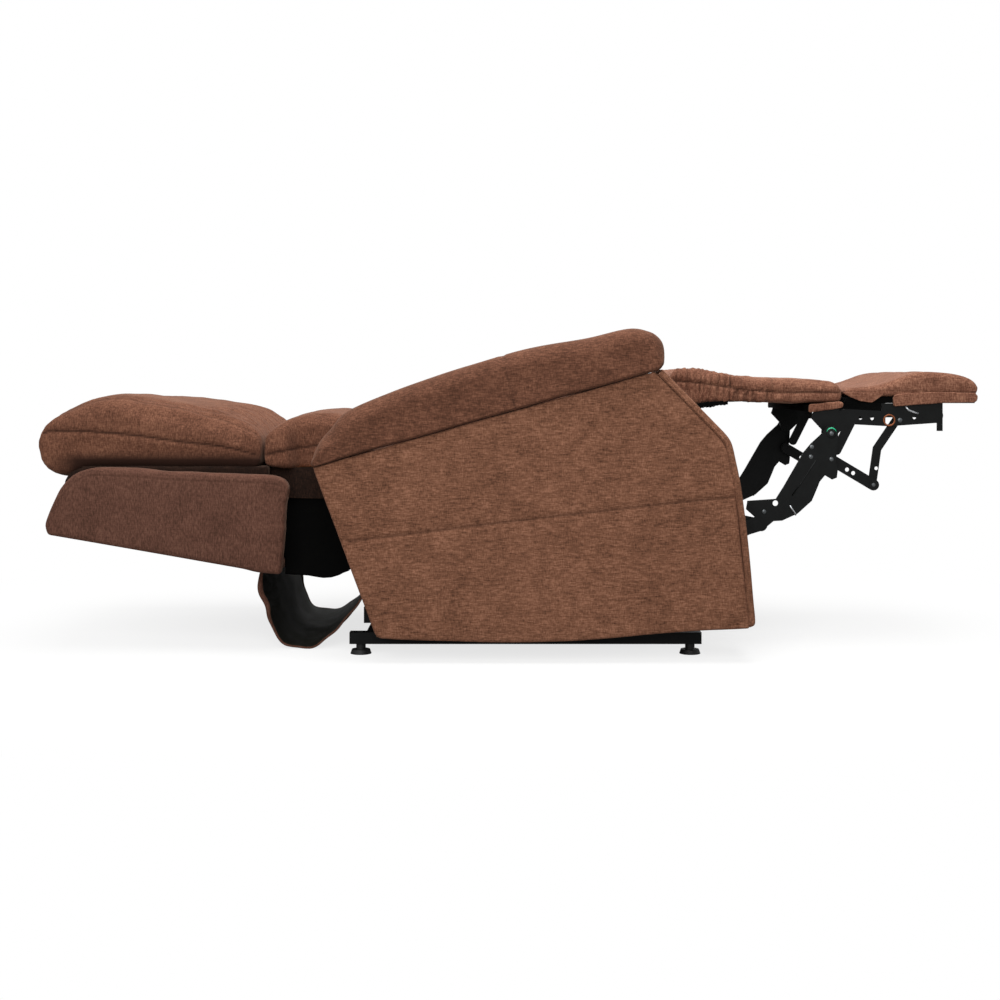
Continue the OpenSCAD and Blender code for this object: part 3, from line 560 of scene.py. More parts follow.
def strip(name, line, section, side, finish):
    """A padded strip: its section, as (reach outwards, depth under the line), carried along a side line and closed
    by a face at each end."""
    grid = np.stack([at_y(shifted(line, -depth), side * y) for y, depth in section], 1)
    rows, count = grid.shape[:2]
    faces = lattice(rows, count).tolist() + [list(range(count)), list(range((rows - 1) * count, rows * count))[::-1]]
    return put(name, grid.reshape(-1, 3), faces, finish)


# ---- Arms ----
band_line = shifted(front_line, -BAND)
band_end = front_line[0][0] - BAND * 1.25
band_line[0] = [band_end, arm_top(band_end)]
band_line[-1] = [front_line[-1][0] - BAND, 71.4]
arm_foot = [[-272, 52], [-240, 49.5], [-150, 45.5], [-60, 43.2], [30, 43.6], [110, 46.2], [210, 52], [300, 61],
            [376, 66.2]]
outer_outline = rounded(np.vstack([arm_foot, band_line[::-1], [[-400, 394]]]),
                        [12] + [30] * 8 + [4, 60, 26, 4, 8], per=6)
inner_outline = rounded([[-290, 112], [480, 112], [456, 364], [438, 440], [298, 586], [-394, 392]], 8)
panel_seam = smooth_line([[-334, 246], [-200, 262], [-20, 284], [180, 307], [330, 324], [474, 338]], 8)
border_line = even(smooth_line([
    [303, 590.4], [340, 552.8], [376, 516.2], [408, 483.5], [428, 462.8], [438, 449.5], [443.5, 436], [449, 412],
    [459.5, 360], [470.5, 280], [479, 200], [485, 130], [488.8, 90], [487, 77.5], [478, 73]], 10), 150, closed=False)
# Front border: rounds of 10 and 7 at its edges, a slight swell between, a return of BAND on the side panel
a = np.linspace(0, math.pi / 2, 6)
low, high = 268.6, ARM_OUT - 0.6
border_section = ([(low, BAND + 1)] + [(low + 10 * (1 - math.sin(t)), 10 * (1 - math.cos(t))) for t in a[::-1]]
                  + [(y, -1.2 * math.sin(math.pi * (y - low) / (high - low)))
                     for y in np.linspace(low + 10, high - 7, 16)[1:-1]]
                  + [(high - 7 * (1 - math.sin(t)), 7 * (1 - math.cos(t))) for t in a] + [(high, BAND + 1)])
rear_line = even([[-272.5, 52.0], [-400.5, 394.0]], 40, closed=False)
rear_section = ([(278, 13), (278, 1), (281, 0)] + [(y, -0.6) for y in np.linspace(290, 410, 8)]
                + [(419, 0), (421.8, 1), (421.8, 13)])
for side, word in SIDES:
    outer = panel(f"arm_panel_{word}", outer_outline, [[-190, 230], [300, 270]], side * 422.2, side * ARM_OUT, 6,
                  arm_cloth, around=640, rings=80, bulge=0.8)
    soften(outer, 0.5, 170, 11)
    seam_shade(outer, at_y(panel_seam, side * ARM_OUT), depth=2.2, width=4.5, dark=0.55, gather=0.25, wave=31, reach=22)
    dress(outer, "carriage", f"arm_outer_{word}")

    inner = panel(f"arm_lining_{word}", inner_outline, [[-180, 260], [300, 290]], side * 276.8,
                  side * (SEAT_HALF + 3.6), 3.5, arm_cloth, around=320, rings=26)
    soften(inner, 0.3, 150, 5)
    dress(inner, "carriage", f"arm_inner_{word}")

    border = strip(f"arm_front_border_{word}", border_line, border_section, side, arm_cloth)
    dress(border, "carriage", f"arm_border_{word}")
    rear = strip(f"arm_rear_border_{word}", rear_line, rear_section, side, arm_cloth)
    dress(rear, "carriage")
    # Piping in the seam between side panel and front border
    piping_line = at_y(shifted(border_line, -BAND + 2.4)[2:-1], side * (ARM_OUT - 0.8))
    dress(welt(f"arm_piping_{word}", piping_line, 2.4, arm_cloth), "carriage")

# Arm pad: underside flat on the arm, sides upright, top in a full round, front end turned down
pad_base = [[x, arm_top(x) + 0.4] for x in (-397, -300, -200, -100, 0, 100, 200, 290)]
pad_outline = form(pad_base + [[301, 594], [308, 606], [307, 640], [296, 659], [276, 670], [236, 674], [156, 656],
                               [76, 641], [-4, 624], [-84, 601], [-164, 574], [-244, 546], [-334, 506], [-366, 472],
                               [-388, 446], [-401, 416]], 300)
pad_outline[:, 1] = np.maximum(pad_outline[:, 1], arm_top(pad_outline[:, 0]) + 0.4)
arm_pad = pad("arm_pad_cushion_right", pad_cloth, pad_outline, [[-345, 434], [262, 622]], -PAD_OUT,
              -SEAT_HALF - 0.6, (7, 38), 26, turn=12, cap=14, depth=40)
soften(arm_pad, 0.9, 130, 21)
cross_seam = smooth_line([[-18, 614], [-10, 585], [-2, 550], [8, 506]], 6)
seam_shade(arm_pad, at_y(cross_seam, -PAD_OUT), depth=2.0, width=4, dark=0.6, gather=0.3, wave=24, reach=15)
over = np.column_stack([np.full(60, -20), np.linspace(-PAD_OUT, -SEAT_HALF - 1, 60), np.full(60, 624)])
seam_shade(arm_pad, on_skin(arm_pad, over), depth=2.0, width=4, dark=0.6)
front_seam = smooth_line([[270, 668], [284, 660], [292, 640], [296, 615], [292, 594]], 6)
seam_shade(arm_pad, at_y(front_seam, -PAD_OUT + 3), depth=2.0, width=3.6, dark=0.5, gather=0.35, wave=13, reach=12)
dress(arm_pad, "carriage", "arm_pad_right")
dress(mirrored(arm_pad, "arm_pad_cushion_left"), "carriage", "arm_pad_left")

# ---- Back ----
wing_outline = rounded([
    [-965, 248], [-760, 212.4], [-556, 176.5], [-530, 169.5], [-480, 165], [-474, 230], [-470, 300], [-461, 346],
    [-470, 363], [-492, 370.5], [-573, 374.5], [-708, 379.5], [-797, 386], [-872, 388.5], [-906, 378], [-938, 348],
    [-958, 304], [-970, 268]], [7, 60, 14, 18, 7, 25, 25, 10, 9, 14, 40, 50, 40, 26, 22, 22, 25, 8])
wing_top = np.array([
    [-954, 290], [-944, 318], [-928, 345], [-901, 370], [-871, 380], [-797, 377.5], [-708, 371], [-573, 366.5],
    [-500, 362.5], [-478, 356], [-470, 344]], float)
side_pleat = [[-478, 345], [-482, 300], [-484, 240], [-488, 190]]
for side, word in SIDES:
    wing = panel(f"back_wing_pad_{word}", wing_outline, [[-860, 312], [-570, 275]], side * 298.4, side * 329, 11,
                 wing_cloth, around=420, rings=46, bulge=1.4, band=70)
    soften(wing, 1.0, 120, 31, hold=lambda p: rise(p[:, 2] + (p[:, 0] + 740) * 0.1711, 214, 244))
    for line, y, how in [(wing_top, 326, dict(depth=1.6, width=3.6, dark=0.5)),
                         (wing_top + [1, -8], 329, dict(depth=0.8, width=3.0, dark=0.3)),
                         (side_pleat, 329, dict(depth=0.8, width=4, dark=0.2, gather=0.9, wave=34, reach=14))]:
        seam_shade(wing, at_y(smooth_line(line, 6), side * y), **how)
    dress(wing, "back", f"back_wing_{word}")

# Closing panel: its skin sags by up to 5 in the middle, and its hidden inner side follows the frame
STEPS = 70
panel_face = [[-962, 253], [-880, 239], [-800, 225.5], [-715, 211], [-640, 198], [-560, 184.5], [-484, 171.5]]
inside = [[-483, 188], [-700, 229], [-942, 270], [-936, 330], [-941, 332], [-952, 300], [-961, 266]]
loop = np.vstack([even(smooth_line(side, 8), STEPS, closed=False) for side in (panel_face, inside)])
rows = []
for y in np.concatenate([[-BACK_HALF, -297, -294], np.linspace(-285, 285, 30), [294, 297, BACK_HALF]]):
    sag = 5.0 * (1 - (abs(y) / BACK_HALF)**4) * np.sin(math.pi * np.linspace(0, 1, STEPS))
    ring = loop.copy()
    ring[:STEPS] += np.outer(sag - (1.5 if abs(y) > 296.5 else 0), [-0.17, -0.98])
    rows.append(at_y(ring, y))
n = len(loop)
half = [[i, i + 1, n - 2 - i, n - 1 - i] for i in range(n // 2 - 1)]
faces = lattice(len(rows), n).tolist() + [q[::-1] for q in half]
faces += [[v + (len(rows) - 1) * n for v in q] for q in half]
back_shell = put("back_closing_panel", np.vstack(rows), faces, wing_cloth)
soften(back_shell, 0.6, 160, 3)
for y in (-288, 288):
    seam_shade(back_shell, on_skin(back_shell, at_y(panel_face[1:], y) - [0, 0, 3]), depth=1.5, width=4, dark=0.5)
dress(back_shell, "back", "back_panel")


def above(low, high):
    """For each point of a piece, 0 at height low and under, 1 at high and over."""
    return lambda p: rise(p[:, 2], low, high)


upper_outline = form([
    [-905, 379], [-860, 382.5], [-735, 382.2], [-630, 382.4], [-548, 383], [-529, 390], [-525.5, 414], [-526, 446],
    [-545, 463], [-592, 484], [-642, 502], [-700, 518], [-770, 530], [-828, 534.5], [-884, 526], [-928, 508],
    [-968, 486], [-994, 460], [-1002, 430], [-993, 398], [-966, 375], [-934, 367]], 260)
upper = pad("upper_back_pillow", back_cloth, upper_outline, [[-900, 455], [-600, 440]], -287, 287, (16, 28), 40,
            turn=10, cap=12, depth=36,
            crown=lambda x: np.interp(x, [-900, -840, -770, -720, -660, -615, -572, -535],
                                      [4, 3, -2, -5, 5, 16, 19, 13]),
            ease=lambda x: np.clip(np.minimum((x + 1000) / 110, (-518 - x) / 50), 0.15, 1))
inflate(upper, 8, 4, above(382, 410), ([-1003, -291, 366], [-519, 291, 548]))
# The far half lies a little lower at the head, as a used pillow does
points, _ = read(upper)
points[:, 2] -= (10 * smooth_rise(points[:, 1], -170, 170) * np.exp(-((points[:, 0] + 850) / 95)**2)
                 * rise(points[:, 2], 430, 510))
write(upper, points)
gusset_low = smooth_line([
    [-992, 462], [-976, 463], [-913, 463], [-870, 460], [-815, 456], [-763, 450], [-704, 441.5], [-645, 433.5],
    [-585, 424], [-542, 414.5], [-526, 411]], 8)
ridge = smooth_line([
    [-955, 510], [-884, 536], [-828, 543], [-760, 536], [-700, 524], [-640, 506], [-560, 472], [-524, 446]], 8)
stitch(upper, gusset_low, 296, depth=2.8, width=4.5, dark=0.9, gather=1.0, wave=24, reach=36, seed=4, valley=0.2)
stitch(upper, ridge, 276, depth=1.6, width=4.5, dark=0.35, gather=0.35, wave=29, reach=18, seed=5)
# Painted shadow: the cloth under the gusset seam darkens towards the bottom of the pillow, where it turns under above
# the wing
points, normals = read(upper)
darken(upper, np.minimum(1.3 * rise(points[:, 2], 426, 396)**1.25, 1) * rise(points[:, 0], -985, -915))
# Fine lengthwise gathers on top where the pillow is sewn to the lumbar one
near_end = rise(points[:, 0], -780, -580)**2 * rise(normals[:, 2], 0, 1)
pleats = (np.sin(0.17 * points[:, 1] + 1.6 * np.sin(0.02 * points[:, 0]))
          + 0.6 * np.sin(0.41 * points[:, 1] + 1.3 * np.sin(0.03 * points[:, 0] + 2)))
write(upper, points + normals * (1.7 * near_end * pleats)[:, None])
# Creases on top at the near end, each groove darkened with painted shade
crease = np.column_stack([np.linspace(-880, -560, 40), np.full(40, -262), np.linspace(558, 510, 40)])
for lift in (0, 34, 62):
    seam_shade(upper, on_skin(upper, crease[lift // 3:] + [0, lift, 0]), depth=1.6, width=5, dark=0.25)
soften(upper, 0.9, 110, 41)
dress(upper, "back", "upper_back_cushion")

lumbar_outline = form([
    [-504, 385], [-440, 382.4], [-380, 382.4], [-325, 385], [-300, 396], [-296, 430], [-312, 466], [-350, 489],
    [-390, 495.5], [-424, 495], [-457, 489], [-489, 475], [-508, 463], [-521, 450], [-523.5, 430], [-522.5, 396]
], 170)
lumbar = pad("lumbar_pillow", back_cloth, lumbar_outline, [[-455, 440], [-350, 437]], -236, 236, (5, 22), 38,
             turn=8, cap=9, crown=3, depth=24, ease=lambda x: np.clip((x + 535) / 60, 0.3, 1))
inflate(lumbar, 8, 3, above(384, 404), ([-523.7, -237.6, 381.6], [-294, 237.6, 503]))


def spread(x):
    """The lumbar pillow's width at x against its plain width: its head end spreads to the width of the upper
    pillow, clear of the arms when the back is up."""
    return 1 + 0.178 * smooth_rise(x, -446, -480)


points, _ = read(lumbar)
points[:, 1] *= spread(points[:, 0])
write(lumbar, points)
lumbar_low = smooth_line([[-523, 411], [-478, 420], [-421, 429], [-340, 437], [-296, 441]], 8)
stitch(lumbar, lumbar_low, 238 * spread(lumbar_low[:, 0]), depth=2.6, width=4.5, dark=0.85, gather=0.45, wave=23,
       reach=22, seed=8)
soften(lumbar, 1.0, 80, 42)
dress(lumbar, "back", "lumbar_cushion")

roll_outline = form([
    [-284, 357], [-234, 357], [-218, 371], [-218, 387], [-233, 398], [-274, 401], [-287, 411], [-290.4, 425],
    [-291, 394], [-289.8, 367]], 90, per=6)
low_roll = pad("lower_back_filler", back_cloth, roll_outline, [[-262, 376], [-240, 376]], -237, 237, 9, 30, turn=6,
               cap=6)
soften(low_roll, 0.3, 60, 9)
dress(low_roll, "back", "lower_back_roll")

# Cloth over the rails between the back pillows and the lining, and boxing under the upper pillow, both near black as
# painted shade
cover_outline = rounded([
    [-530, 319], [-430, 318], [-345, 316], [-303, 360], [-303, 384], [-400, 384], [-530, 384]], 4)
boxing_outline = rounded([[-906, 352], [-512, 352], [-512, 388], [-906, 388]], 4)
head_outline = rounded([[-937, 342], [-893, 350], [-893, 384], [-908, 384], [-928, 374], [-937, 358]], 4)
for side, word in SIDES:
    cover = panel(f"back_rail_cover_{word}", cover_outline, [[-480, 350], [-360, 354]], side * 247.1, side * 248.5,
                  0.6, cover_cloth_in_painted_shade, around=260, rings=24)
    soften(cover, 0.12, 60, 15)
    dress(cover, "back")
    boxing = panel(f"back_boxing_{word}", boxing_outline, [[-880, 370], [-545, 370]], side * 243.2, side * 284, 6,
                   cover_cloth_in_painted_shade, around=260, rings=14)
    soften(boxing, 0.5, 70, 16)
    dress(boxing, "back")
boxing = panel("back_boxing_head", head_outline, [[-918, 360], [-905, 364]], -290, 290, 5, cover_cloth_in_painted_shade, around=160,
               rings=14)
soften(boxing, 0.5, 70, 19)
dress(boxing, "back")


# ---- Thin cloths ----
def cloth_sheet(name, grid, thick, *finishes):
    """A sheet of cloth: a grid of points, given its thickness by Solidify. A second finish covers its back."""
    piece = put(name, grid, lattice(*grid.shape[:2], wrap_columns=False), *finishes, closed=False)
    body = piece.modifiers.new("thick", "SOLIDIFY")
    body.thickness, body.offset = thick * MM, 0
    body.use_even_offset = True
    if len(finishes) > 1:
        body.material_offset = 1
        body.material_offset_rim = 0
    apply_all(piece)
    piece.data.shade_smooth()
    return piece


# Lining: its lower edge, as (share of the way across, height), is the cloth's own uneven cut
LINING_TOP = 350.0
lining_low = np.transpose([
    [0, 156], [0.18, 154.5], [0.37, 153], [0.52, 149.5], [0.62, 147.6], [0.75, 148.8], [0.88, 154], [1, 163]])
across = np.linspace(0, 1, 44)
down = np.linspace(0, 1, 46)[:, None]
z = LINING_TOP + (np.interp(across, *lining_low) - LINING_TOP) * down
foot_end = np.interp(z, [158, 180, 240, 350], [-350.5, -331, -321, -345.5])
head_end = np.interp(z, [165, 190, 198, 350], [-481.4, -481.6, -487, -487])
x = head_end + (foot_end - head_end) * across
for side, word in SIDES:
    y = side * (241.4 + 0.45 * np.sin(0.11 * x + 5 * down) * down)
    lining = cloth_sheet(f"back_lining_{word}", np.stack([x, y, z], -1), 0.8, dust_lining)
    dress(lining, "back", "back_liners")

# Rear flap: hangs as a loop from the back panel's front edge to the rear tube of the carriage
ALONG, ACROSS = 120, 90
flap_line = even(smooth_line([
    [-525, 176], [-530, 160], [-532, 138], [-529, 116], [-516, 90], [-510, 64], [-499, 34], [-484, 15], [-466, 6],
    [-446, 2.9], [-424, 5], [-402, 14], [-378, 33], [-352, 60], [-326, 96], [-290, 144], [-256, 171]
], 8), ALONG, closed=False)
across = np.linspace(-1, 1, ACROSS)
t = np.linspace(0, 1, ALONG)[:, None]
way = np.gradient(flap_line, axis=0)
way /= np.linalg.norm(way, axis=1)[:, None]
random = np.random.default_rng(17)
ripple = np.zeros((ALONG, ACROSS))
for _ in range(7):
    a, b, c = random.uniform(2, 9), random.uniform(1, 7), random.uniform(0, 6.28)
    ripple += random.uniform(0.3, 1.0) * np.sin(a * t * 3.1 + b * across * 2.2 + c)
ripple *= np.sin(math.pi * np.clip(t * 1.02, 0, 1)) * 0.8
edge_flare = 1.6 * np.abs(across)**14 * np.sin(t * 47)
ripple += edge_flare * np.sin(math.pi * t)
grid = np.stack([flap_line[:, :1] - way[:, 1:] * ripple,
                 FLAP_HALF * across - 1.2 * across * np.sin(t * 31)**2,
                 np.maximum(flap_line[:, 1:] + way[:, :1] * ripple, 2.2)], -1)
flap = cloth_sheet("rear_flap_cloth", grid, 2.6, wing_cloth, flap_lining)
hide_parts("rear_flap")
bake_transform(flap)
# Its side hems are turned over twice, thickest where the back pulls them flat
hem_size = np.interp(np.linspace(0, 1, ALONG - 3), [0, 0.08, 0.17, 0.27, 0.4, 1], [3, 6, 5.5, 3.0, 2.2, 2.2])
for side, word in SIDES:
    edge = grid[2:-1, 0 if side < 0 else -1] + [0, side * 0.4, 0]
    edge[:, 2] = np.maximum(edge[:, 2], hem_size + 0.4)
    hem = welt(f"rear_flap_hem_{word}", edge, hem_size[:, None, None], wing_cloth)
    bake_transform(hem)


# ---- Seat ----
def under_seat(x):
    """Height of the seat cushion's underside at x."""
    return 357 + (x + 183) * math.tan(math.radians(9.4))


seat_form = [[-168, 0.005], [-80, 0.002], [20, 0.002], [120, 0.002], [220, 0.002], [320, 0.01], [334, 0.1],
             [336, 0.5], [330, 0.88], [300, 0.97], [220, 0.99], [120, 1.0], [20, 1.0], [-80, 0.97], [-158, 0.93],
             [-177, 0.84], [-181, 0.5], [-178, 0.12]]
seat_core = [[x, under_seat(x) + 71] for x in (-110, 265)]
seat = pad("seat_pad", leg_cloth, form([[x, under_seat(x) + f * 142] for x, f in seat_form], 240), seat_core,
           -259, 259, 30, 38, turn=9, cap=12, crown=3)
inflate(seat, 9, 12, lambda p: rise(p[:, 2] - under_seat(p[:, 0]), 3, 23),
        ([-182.8, -261.6, 300], [337.6, 261.6, 590]))
stitch(seat, smooth_line([[-160, 488], [0, 521], [150, 546], [300, 574]], 10), 236, depth=3, width=5, dark=0.6,
       gather=0.5, wave=31, reach=20)
middle = np.column_stack([np.full(60, 70), np.linspace(-230, 230, 60), np.full(60, 570)])
seam_shade(seat, on_skin(seat, middle), depth=5, width=9, dark=0.4, gather=0.6, wave=37, reach=30)
soften(seat, 1.2, 110, 43)
dress(seat, "carriage", "seat_cushion")

front_outline = form([
    [343.5, 466], [367, 498], [396, 515], [430, 520.5], [452, 521.5], [462, 523], [464.1, 532], [464.1, 550],
    [464.1, 570], [463, 581], [452, 583.5], [440, 585], [410, 589.5], [394, 592], [361, 592], [343.5, 581],
    [340, 560], [339.8, 520], [340.3, 478]], 190)
front_roll = pad("seat_front_roll_pad", leg_cloth, front_outline, [[362, 540], [425, 560]], -LEG_HALF, LEG_HALF, 16,
                 40, turn=8, cap=9, crown=1, ease=lambda x: rise(x, 463, 393))
inflate(front_roll, 6, 3, lambda p: rise(p[:, 0], 338, 352) * rise(p[:, 0], 462, 432),
        ([338.6, -245, 460], [464.1, 245, 594]))
# Its seam and deep gathers, with painted shade in the groove and in the gathers' valleys
stitch(front_roll, smooth_line([[342, 568], [358.7, 566.8], [400, 563.2], [463, 555]], 10), LEG_SKIN, depth=3.0,
       width=3.6, dark=0.8, gather=3.0, wave=12.5, reach=36, seed=12, valley=0.75)
soften(front_roll, 0.7, 60, 44)
dress(front_roll, "carriage", "seat_front_roll")
# Dust cloth stapled under the roll, its cut edge showing
x = np.linspace(392, 462, 60)
ragged = np.interp(x, [392, 410, 444, 462], [10, 10, 7.7, 5.7])
ragged += 0.9 * np.sin(x * 0.21) + 0.5 * np.sin(x * 0.83 + 1) + 0.3 * np.sin(x * 2.9)
top = np.interp(x, [392, 410, 440, 462], [518.5, 522, 524.5, 526])
down = np.linspace(0, 1, 6)[:, None]
for side, word in SIDES:
    grid = np.stack(np.broadcast_arrays(x, side * (240.6 + 1.2 * np.sin(x * 0.6) * down),
                                        top - (2.0 + ragged) * down), -1)
    dress(cloth_sheet(f"roll_lining_{word}", grid, 0.8, dust_lining), "carriage")

# ---- Leg rest ----
calf_outline = form([
    [466, 523], [500, 522.8], [541, 521.6], [575, 520.6], [606, 518.5], [622, 520.8], [640, 521.2], [694, 522.2],
    [706, 527], [709, 538], [706, 553], [692, 562.5], [652, 567], [611, 570.5], [536, 572], [514, 574.5],
    [498, 575], [491, 573.5], [483, 577.5], [474, 581.5], [465.2, 582], [464.4, 574], [464.4, 550], [464.4, 532]
], 260)
calf = pad("calf_rest_pad", leg_cloth, calf_outline, [[500, 553], [675, 544]], -LEG_HALF, LEG_HALF, (13, 15), 40,
           turn=8, cap=9, crown=1.5, ease=lambda x: rise(x, 465, 535))
inflate(calf, 6, 3, lambda p: rise(p[:, 2], 523, 540) * rise(p[:, 0], 467, 497),
        ([464.4, -245, 517.5], [710, 245, 583]))
calf_seam = smooth_line([[464, 555], [486, 550.8], [536, 546.8], [583, 544.6], [650, 543.6], [706, 544.5]], 10)
stitch(calf, calf_seam, LEG_SKIN, depth=2.4, width=3.6, dark=0.8)
# Its gathers are deep by the front roll and faint further on, with painted shade in their valleys
for start, end, how in [(464, 562, dict(gather=2.7, wave=12.5, seed=13, valley=0.7)),
                        (540, 700, dict(gather=0.6, wave=17, seed=14, valley=0.2))]:
    part = calf_seam[(calf_seam[:, 0] >= start) & (calf_seam[:, 0] <= end)]
    stitch(calf, part, LEG_SKIN, depth=0, width=3, dark=0, reach=28, **how)
soften(calf, 0.7, 70, 45)
dress(calf, "legrest", "calf_pad")

foot_outline = form([
    [722, 538], [760, 535.2], [820, 534.6], [900, 534.6], [970, 534.4], [989, 535.5], [995, 543], [997.5, 551],
    [993, 560], [984, 568], [967, 575], [942, 581], [915, 583.6], [880, 584.0], [850, 579], [824, 569.5],
    [800, 561], [776, 556], [742, 553], [716, 551.5], [711, 548], [714, 542]], 260)
foot_rest = pad("foot_rest_pad", leg_cloth, foot_outline, [[750, 547], [950, 554]], -LEG_HALF, LEG_HALF, (8, 18),
                40, turn=8, cap=9, crown=0.5, depth=16, ease=lambda x: np.clip((1010 - x) / 60, 0.2, 1))
inflate(foot_rest, 6, 2.5, above(535, 550), ([710.4, -245, 533.7], [998, 245, 587.5]))
foot_seam = smooth_line([[711, 548.5], [760, 549.5], [790, 549], [850, 546], [930, 543.5], [990, 543]], 10)
stitch(foot_rest, foot_seam, LEG_SKIN, depth=1.4, width=3.2, dark=0.5, gather=0.4, wave=19, reach=18, seed=14)
soften(foot_rest, 0.8, 80, 46)
dress(foot_rest, "legrest", "foot_pad")

# Cloth-wrapped ends of the boards, and the loose corner of cloth between the pads
board_ends = [("calf", [[633, 500], [706, 511], [707.5, 520.5], [700, 524], [634, 517.5]], [[650, 510], [695, 516]],
               246.4),
              ("foot", [[814, 513], [905, 520.5], [984, 521.5], [991, 525], [994, 536], [987, 543], [885, 544.5],
                        [820, 540], [813, 533]], [[835, 527], [970, 532]], 248.4)]
corner_outline = rounded([
    [706, 543], [722, 534], [742, 525.5], [768, 521.6], [783, 531], [793, 539.5], [752, 543]], 3)
for side, word in SIDES:
    for which, outline, core, face in board_ends:
        wrap = panel(f"{which}_board_end_{word}", rounded(outline, 5), core, side * 241.0, side * face, 2.5,
                     leg_cloth, around=260, rings=16, bulge=0.5)
        soften(wrap, 0.5, 40, 7)
        dress(wrap, "legrest")
    corner = panel(f"corner_cloth_{word}", corner_outline, [[735, 536], [775, 532]], side * 243.6, side * 245.6,
                   0.9, leg_cloth, around=160, rings=16)
    soften(corner, 0.6, 30, 8)
    dress(corner, "legrest")

calf_base = panel("calf_board_wrapped", rounded([[635, 501], [705, 512], [706, 520], [636, 517]], 3),
                  [[650, 510], [692, 515]], -240.6, 240.6, 2, dust_lining, around=120, rings=8)
dress(calf_base, "legrest", "calf_board")


# ---- Steel, timber and plastic ----
def paint(finish, slot, *names):
    """Gives the CAD pieces a finish; slot is not used."""
    for name in names:
        nodes[name].data.materials.clear()
        nodes[name].data.materials.append(finish)


paint(powder_coat, "black_steel", "base_rails", "base_cross_tubes", "base_brackets", "lift_arms", "lift_cross_tube",
      "stabiliser_links", "carriage_rails", "lift_hangers", "carriage_cross_tubes", "mechanism_plates",
      "seat_cross_rails", "recline_brackets", "recline_lever_bar", "front_cranks", "rear_cranks",
      "legrest_torque_tube", "main_links", "legrest_brackets", "drop_links", "strut_links")
paint(zinc, "bright_steel", "base_pins", "lift_pins", "seat_springs", "back_springs")
paint(chrome_rod, "bright_steel", "lift_rod", "recline_rod", "legrest_rod")
paint(housing, "black_plastic", "lift_motor", "recline_motor", "legrest_motor", "power_unit")
paint(foot_rubber, "foot_rubber", "front_feet", "rear_feet")
paint(timber, "timber", "arm_frame_left", "arm_frame_right", "back_side_rails", "back_cross_rails",
      "seat_side_rails")
paint(dust_lining, "black_lining", "foot_board")


def turned(name, profile, x, z, side, body, finish, ring=False, sides=28):
    """A turned part whose axis runs across the chair: each (radius, reach outwards) of the profile makes a circle
    x + r cos a, z + r sin a at that reach. A ring's profile closes on itself; others end on the axis."""
    a = np.linspace(0, 2 * math.pi, sides, endpoint=False)
    rows = [at_y(np.column_stack([x + r * np.cos(a), z + r * np.sin(a)]), side * y) for r, y in profile]
    piece = put(name, np.vstack(rows), lattice(len(rows), sides, wrap_rows=ring), finish)
    dress(piece, body)


def rivet_head(name, x, z, y, side, body, finish=rivet_steel, r=6.0, high=2.0):
    """A domed head of radius r: at q of the way out it reaches y + high * (1 - 0.75 q^2), over a short rim."""
    dome = [(r * q, y + high * (1 - 0.75 * q * q)) for q in (0, 0.25, 0.5, 0.72, 0.9, 1)]
    turned(name, [(0, y - 0.2), (r, y - 0.2)] + dome[::-1], x, z, side, body, finish)


def wire(name, points, side, radius, body, finish):
    """A bent wire or a pressed rib through points given for the left side."""
    dress(welt(name, np.array(points) * [1, side, 1], radius, finish), body)


washer = [(5, LINK_FACE - 0.1), (10.4, LINK_FACE - 0.1), (10.4, LINK_FACE + 0.25), (5, LINK_FACE + 0.25)]
bush = [(9.7, 240.6), (13.2, 240.6), (13.2, 241.3), (12, 241.8), (9.7, 241.8)]
rib = [[x, LINK_FACE - 0.7, z] for x, z in ((646, 401), (630, 377), (612, 350), (594, 325))]
hook = [[x, LINK_FACE + out, z] for x, out, z in ((589, 0.6, 304), (593, 1.2, 298), (600, 1.2, 288), (602, -1, 284))]
clip = [[840, 241.9, 514], [846, 242.2, 506], [858, 242.2, 501], [868, 241.9, 498]]
for side, word in SIDES:
    turned(f"legrest_washer_{word}", washer, 677.6, 459.2, side, "main_link_pair", green_washer, ring=True)
    rivet_head(f"legrest_pivot_cap_{word}", 677.6, 456.4, LINK_FACE, side, "main_link_pair", powder_coat, 10.6, 1.2)
    for k, (x, z) in enumerate([(677.6, 456.4), (677.6, 402), (636, 428), (634, 407), (535, 291)]):
        rivet_head(f"main_link_rivet_{k}_{word}", x, z, LINK_FACE + (0 if k else 1.0), side, "main_link_pair", r=4.6,
                   high=1.3)
    wire(f"main_link_rib_{word}", rib, side, 1.8, "main_link_pair", powder_coat)
    wire(f"spring_hook_{word}", hook, side, 2.1, "main_link_pair", zinc)
    turned(f"bracket_bush_{word}", bush, 806, 484, side, "legrest", copper_ring, ring=True)
    wire(f"board_clip_{word}", clip, side, 2.6, "legrest", zinc)
    rivet_head(f"bracket_rivet_{word}", 829, 484, BRACKET_FACE, side, "legrest", r=5.0, high=1.4)
    rivet_head(f"drop_link_rivet_{word}", 771, 346.5, 246.7, side, "drop_link_pair", r=6.5, high=1.6)

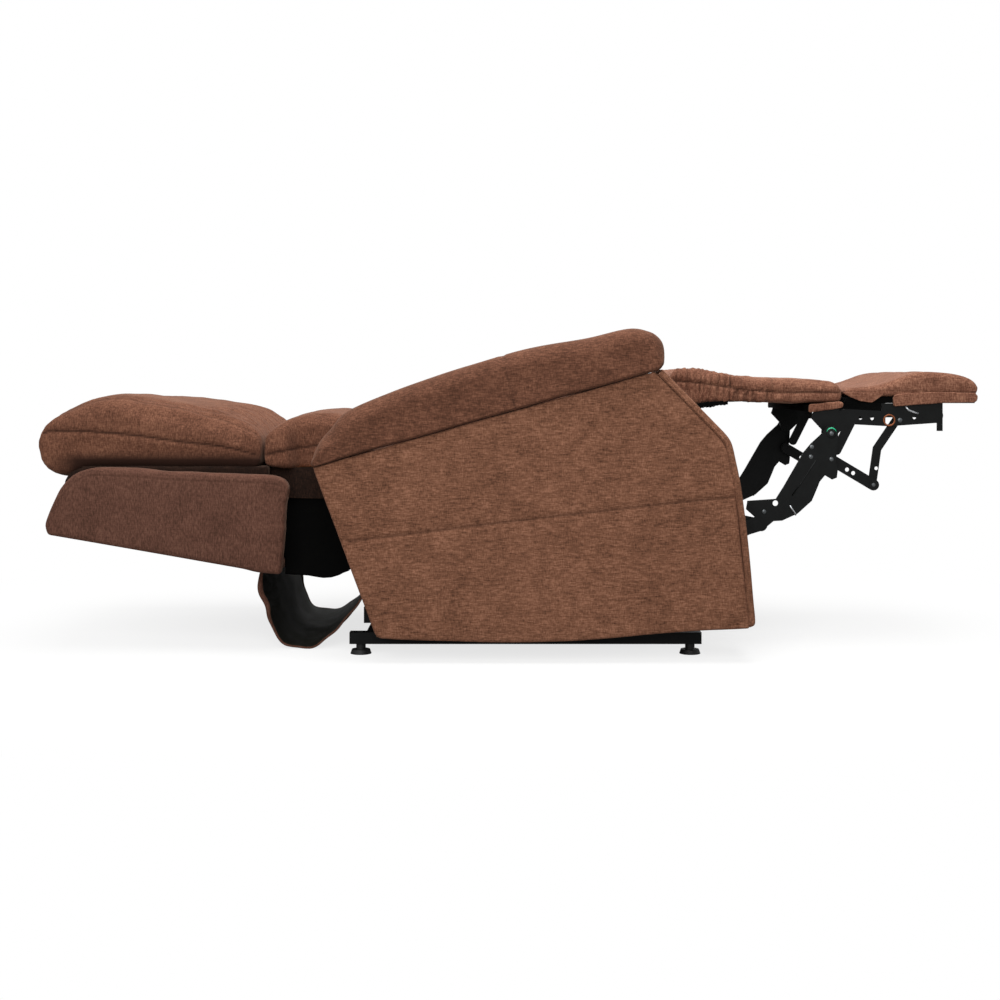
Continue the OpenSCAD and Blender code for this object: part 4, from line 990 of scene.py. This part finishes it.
# ---- Floor and light ----
floor_mat, tree, out = material("pale_floor")
plain = add(tree, "BsdfDiffuse", {"Color": shade("#f6f6f5"), "Roughness": 0.5})
lit = add(tree, "Emission", {"Color": (1, 1, 1, 1), "Strength": 1.0})
ray = add(tree, "LightPath")
spot = add(tree, "TexCoord").outputs["Object"]
flat = add(tree, "Mapping", {"Vector": spot, "Scale": (0.62, 0.85, 1)})
reach = add(tree, "VectorMath", {0: flat.outputs[0]}, operation="LENGTH")
fade = add(tree, "MapRange", {"Value": reach.outputs["Value"], "From Min": 0.15, "From Max": 1.1, "To Min": 0.74,
                              "To Max": 1.0}, interpolation_type="SMOOTHSTEP")
bounce = add(tree, "BsdfDiffuse", {"Color": shade("#a9a8a6"), "Roughness": 0.5})
seen = add(tree, "MixShader", {0: fade.outputs[0], 1: plain.outputs[0], 2: lit.outputs[0]})
both = add(tree, "MixShader", {0: ray.outputs["Is Camera Ray"], 1: bounce.outputs[0], 2: seen.outputs[0]})
tree.links.new(both.outputs[0], out.inputs[0])
floor_mesh = bpy.data.meshes.new("floor")
floor_mesh.from_pydata([(-14, -9, 0), (14, -9, 0), (14, 22, 0), (-14, 22, 0)], [], [(0, 1, 2, 3)])
floor_mesh.materials.append(floor_mat)
floor = bpy.data.objects.new("floor", floor_mesh)
scene.collection.objects.link(floor)


def softbox(name, place, aim, size, power):
    """A square area lamp at place, turned to aim."""
    lamp = bpy.data.lights.new(name, "AREA")
    lamp.shape, lamp.size, lamp.energy = "SQUARE", size, power
    made = bpy.data.objects.new(name, lamp)
    made.location = place
    made.rotation_euler = (Vector(aim) - Vector(place)).to_track_quat("-Z", "Y").to_euler()
    scene.collection.objects.link(made)
    return made


lamps = [softbox("overhead", (0.1, -0.6, 3.4), (0, 0, 0.4), 2.6, 112),
         softbox("front_fill", (-0.6, -5.0, 2.6), (0, 0, 0.3), 3.2, 143),
         softbox("rear_top", (0.6, 2.6, 2.6), (0, 0, 0.5), 2.4, 40)]

world = bpy.data.worlds.new("studio")
scene.world = world
world.use_nodes = True
tree = world.node_tree
tree.nodes.clear()
out = tree.nodes.new("ShaderNodeOutputWorld")
ray = add(tree, "LightPath")
seen = add(tree, "Math", {0: ray.outputs["Is Camera Ray"], 1: ray.outputs["Is Glossy Ray"]}, operation="MAXIMUM")
seen = add(tree, "Math", {0: seen.outputs[0], 1: ray.outputs["Is Transmission Ray"]}, operation="MAXIMUM")
dim = add(tree, "Background", {"Color": (1, 1, 1, 1), "Strength": 0.34})
full = add(tree, "Background", {"Color": (1, 1, 1, 1), "Strength": 1.0})
both = add(tree, "MixShader", {0: seen.outputs[0], 1: dim.outputs[0], 2: full.outputs[0]})
tree.links.new(both.outputs[0], out.inputs[0])
scene.view_settings.view_transform = "Standard"
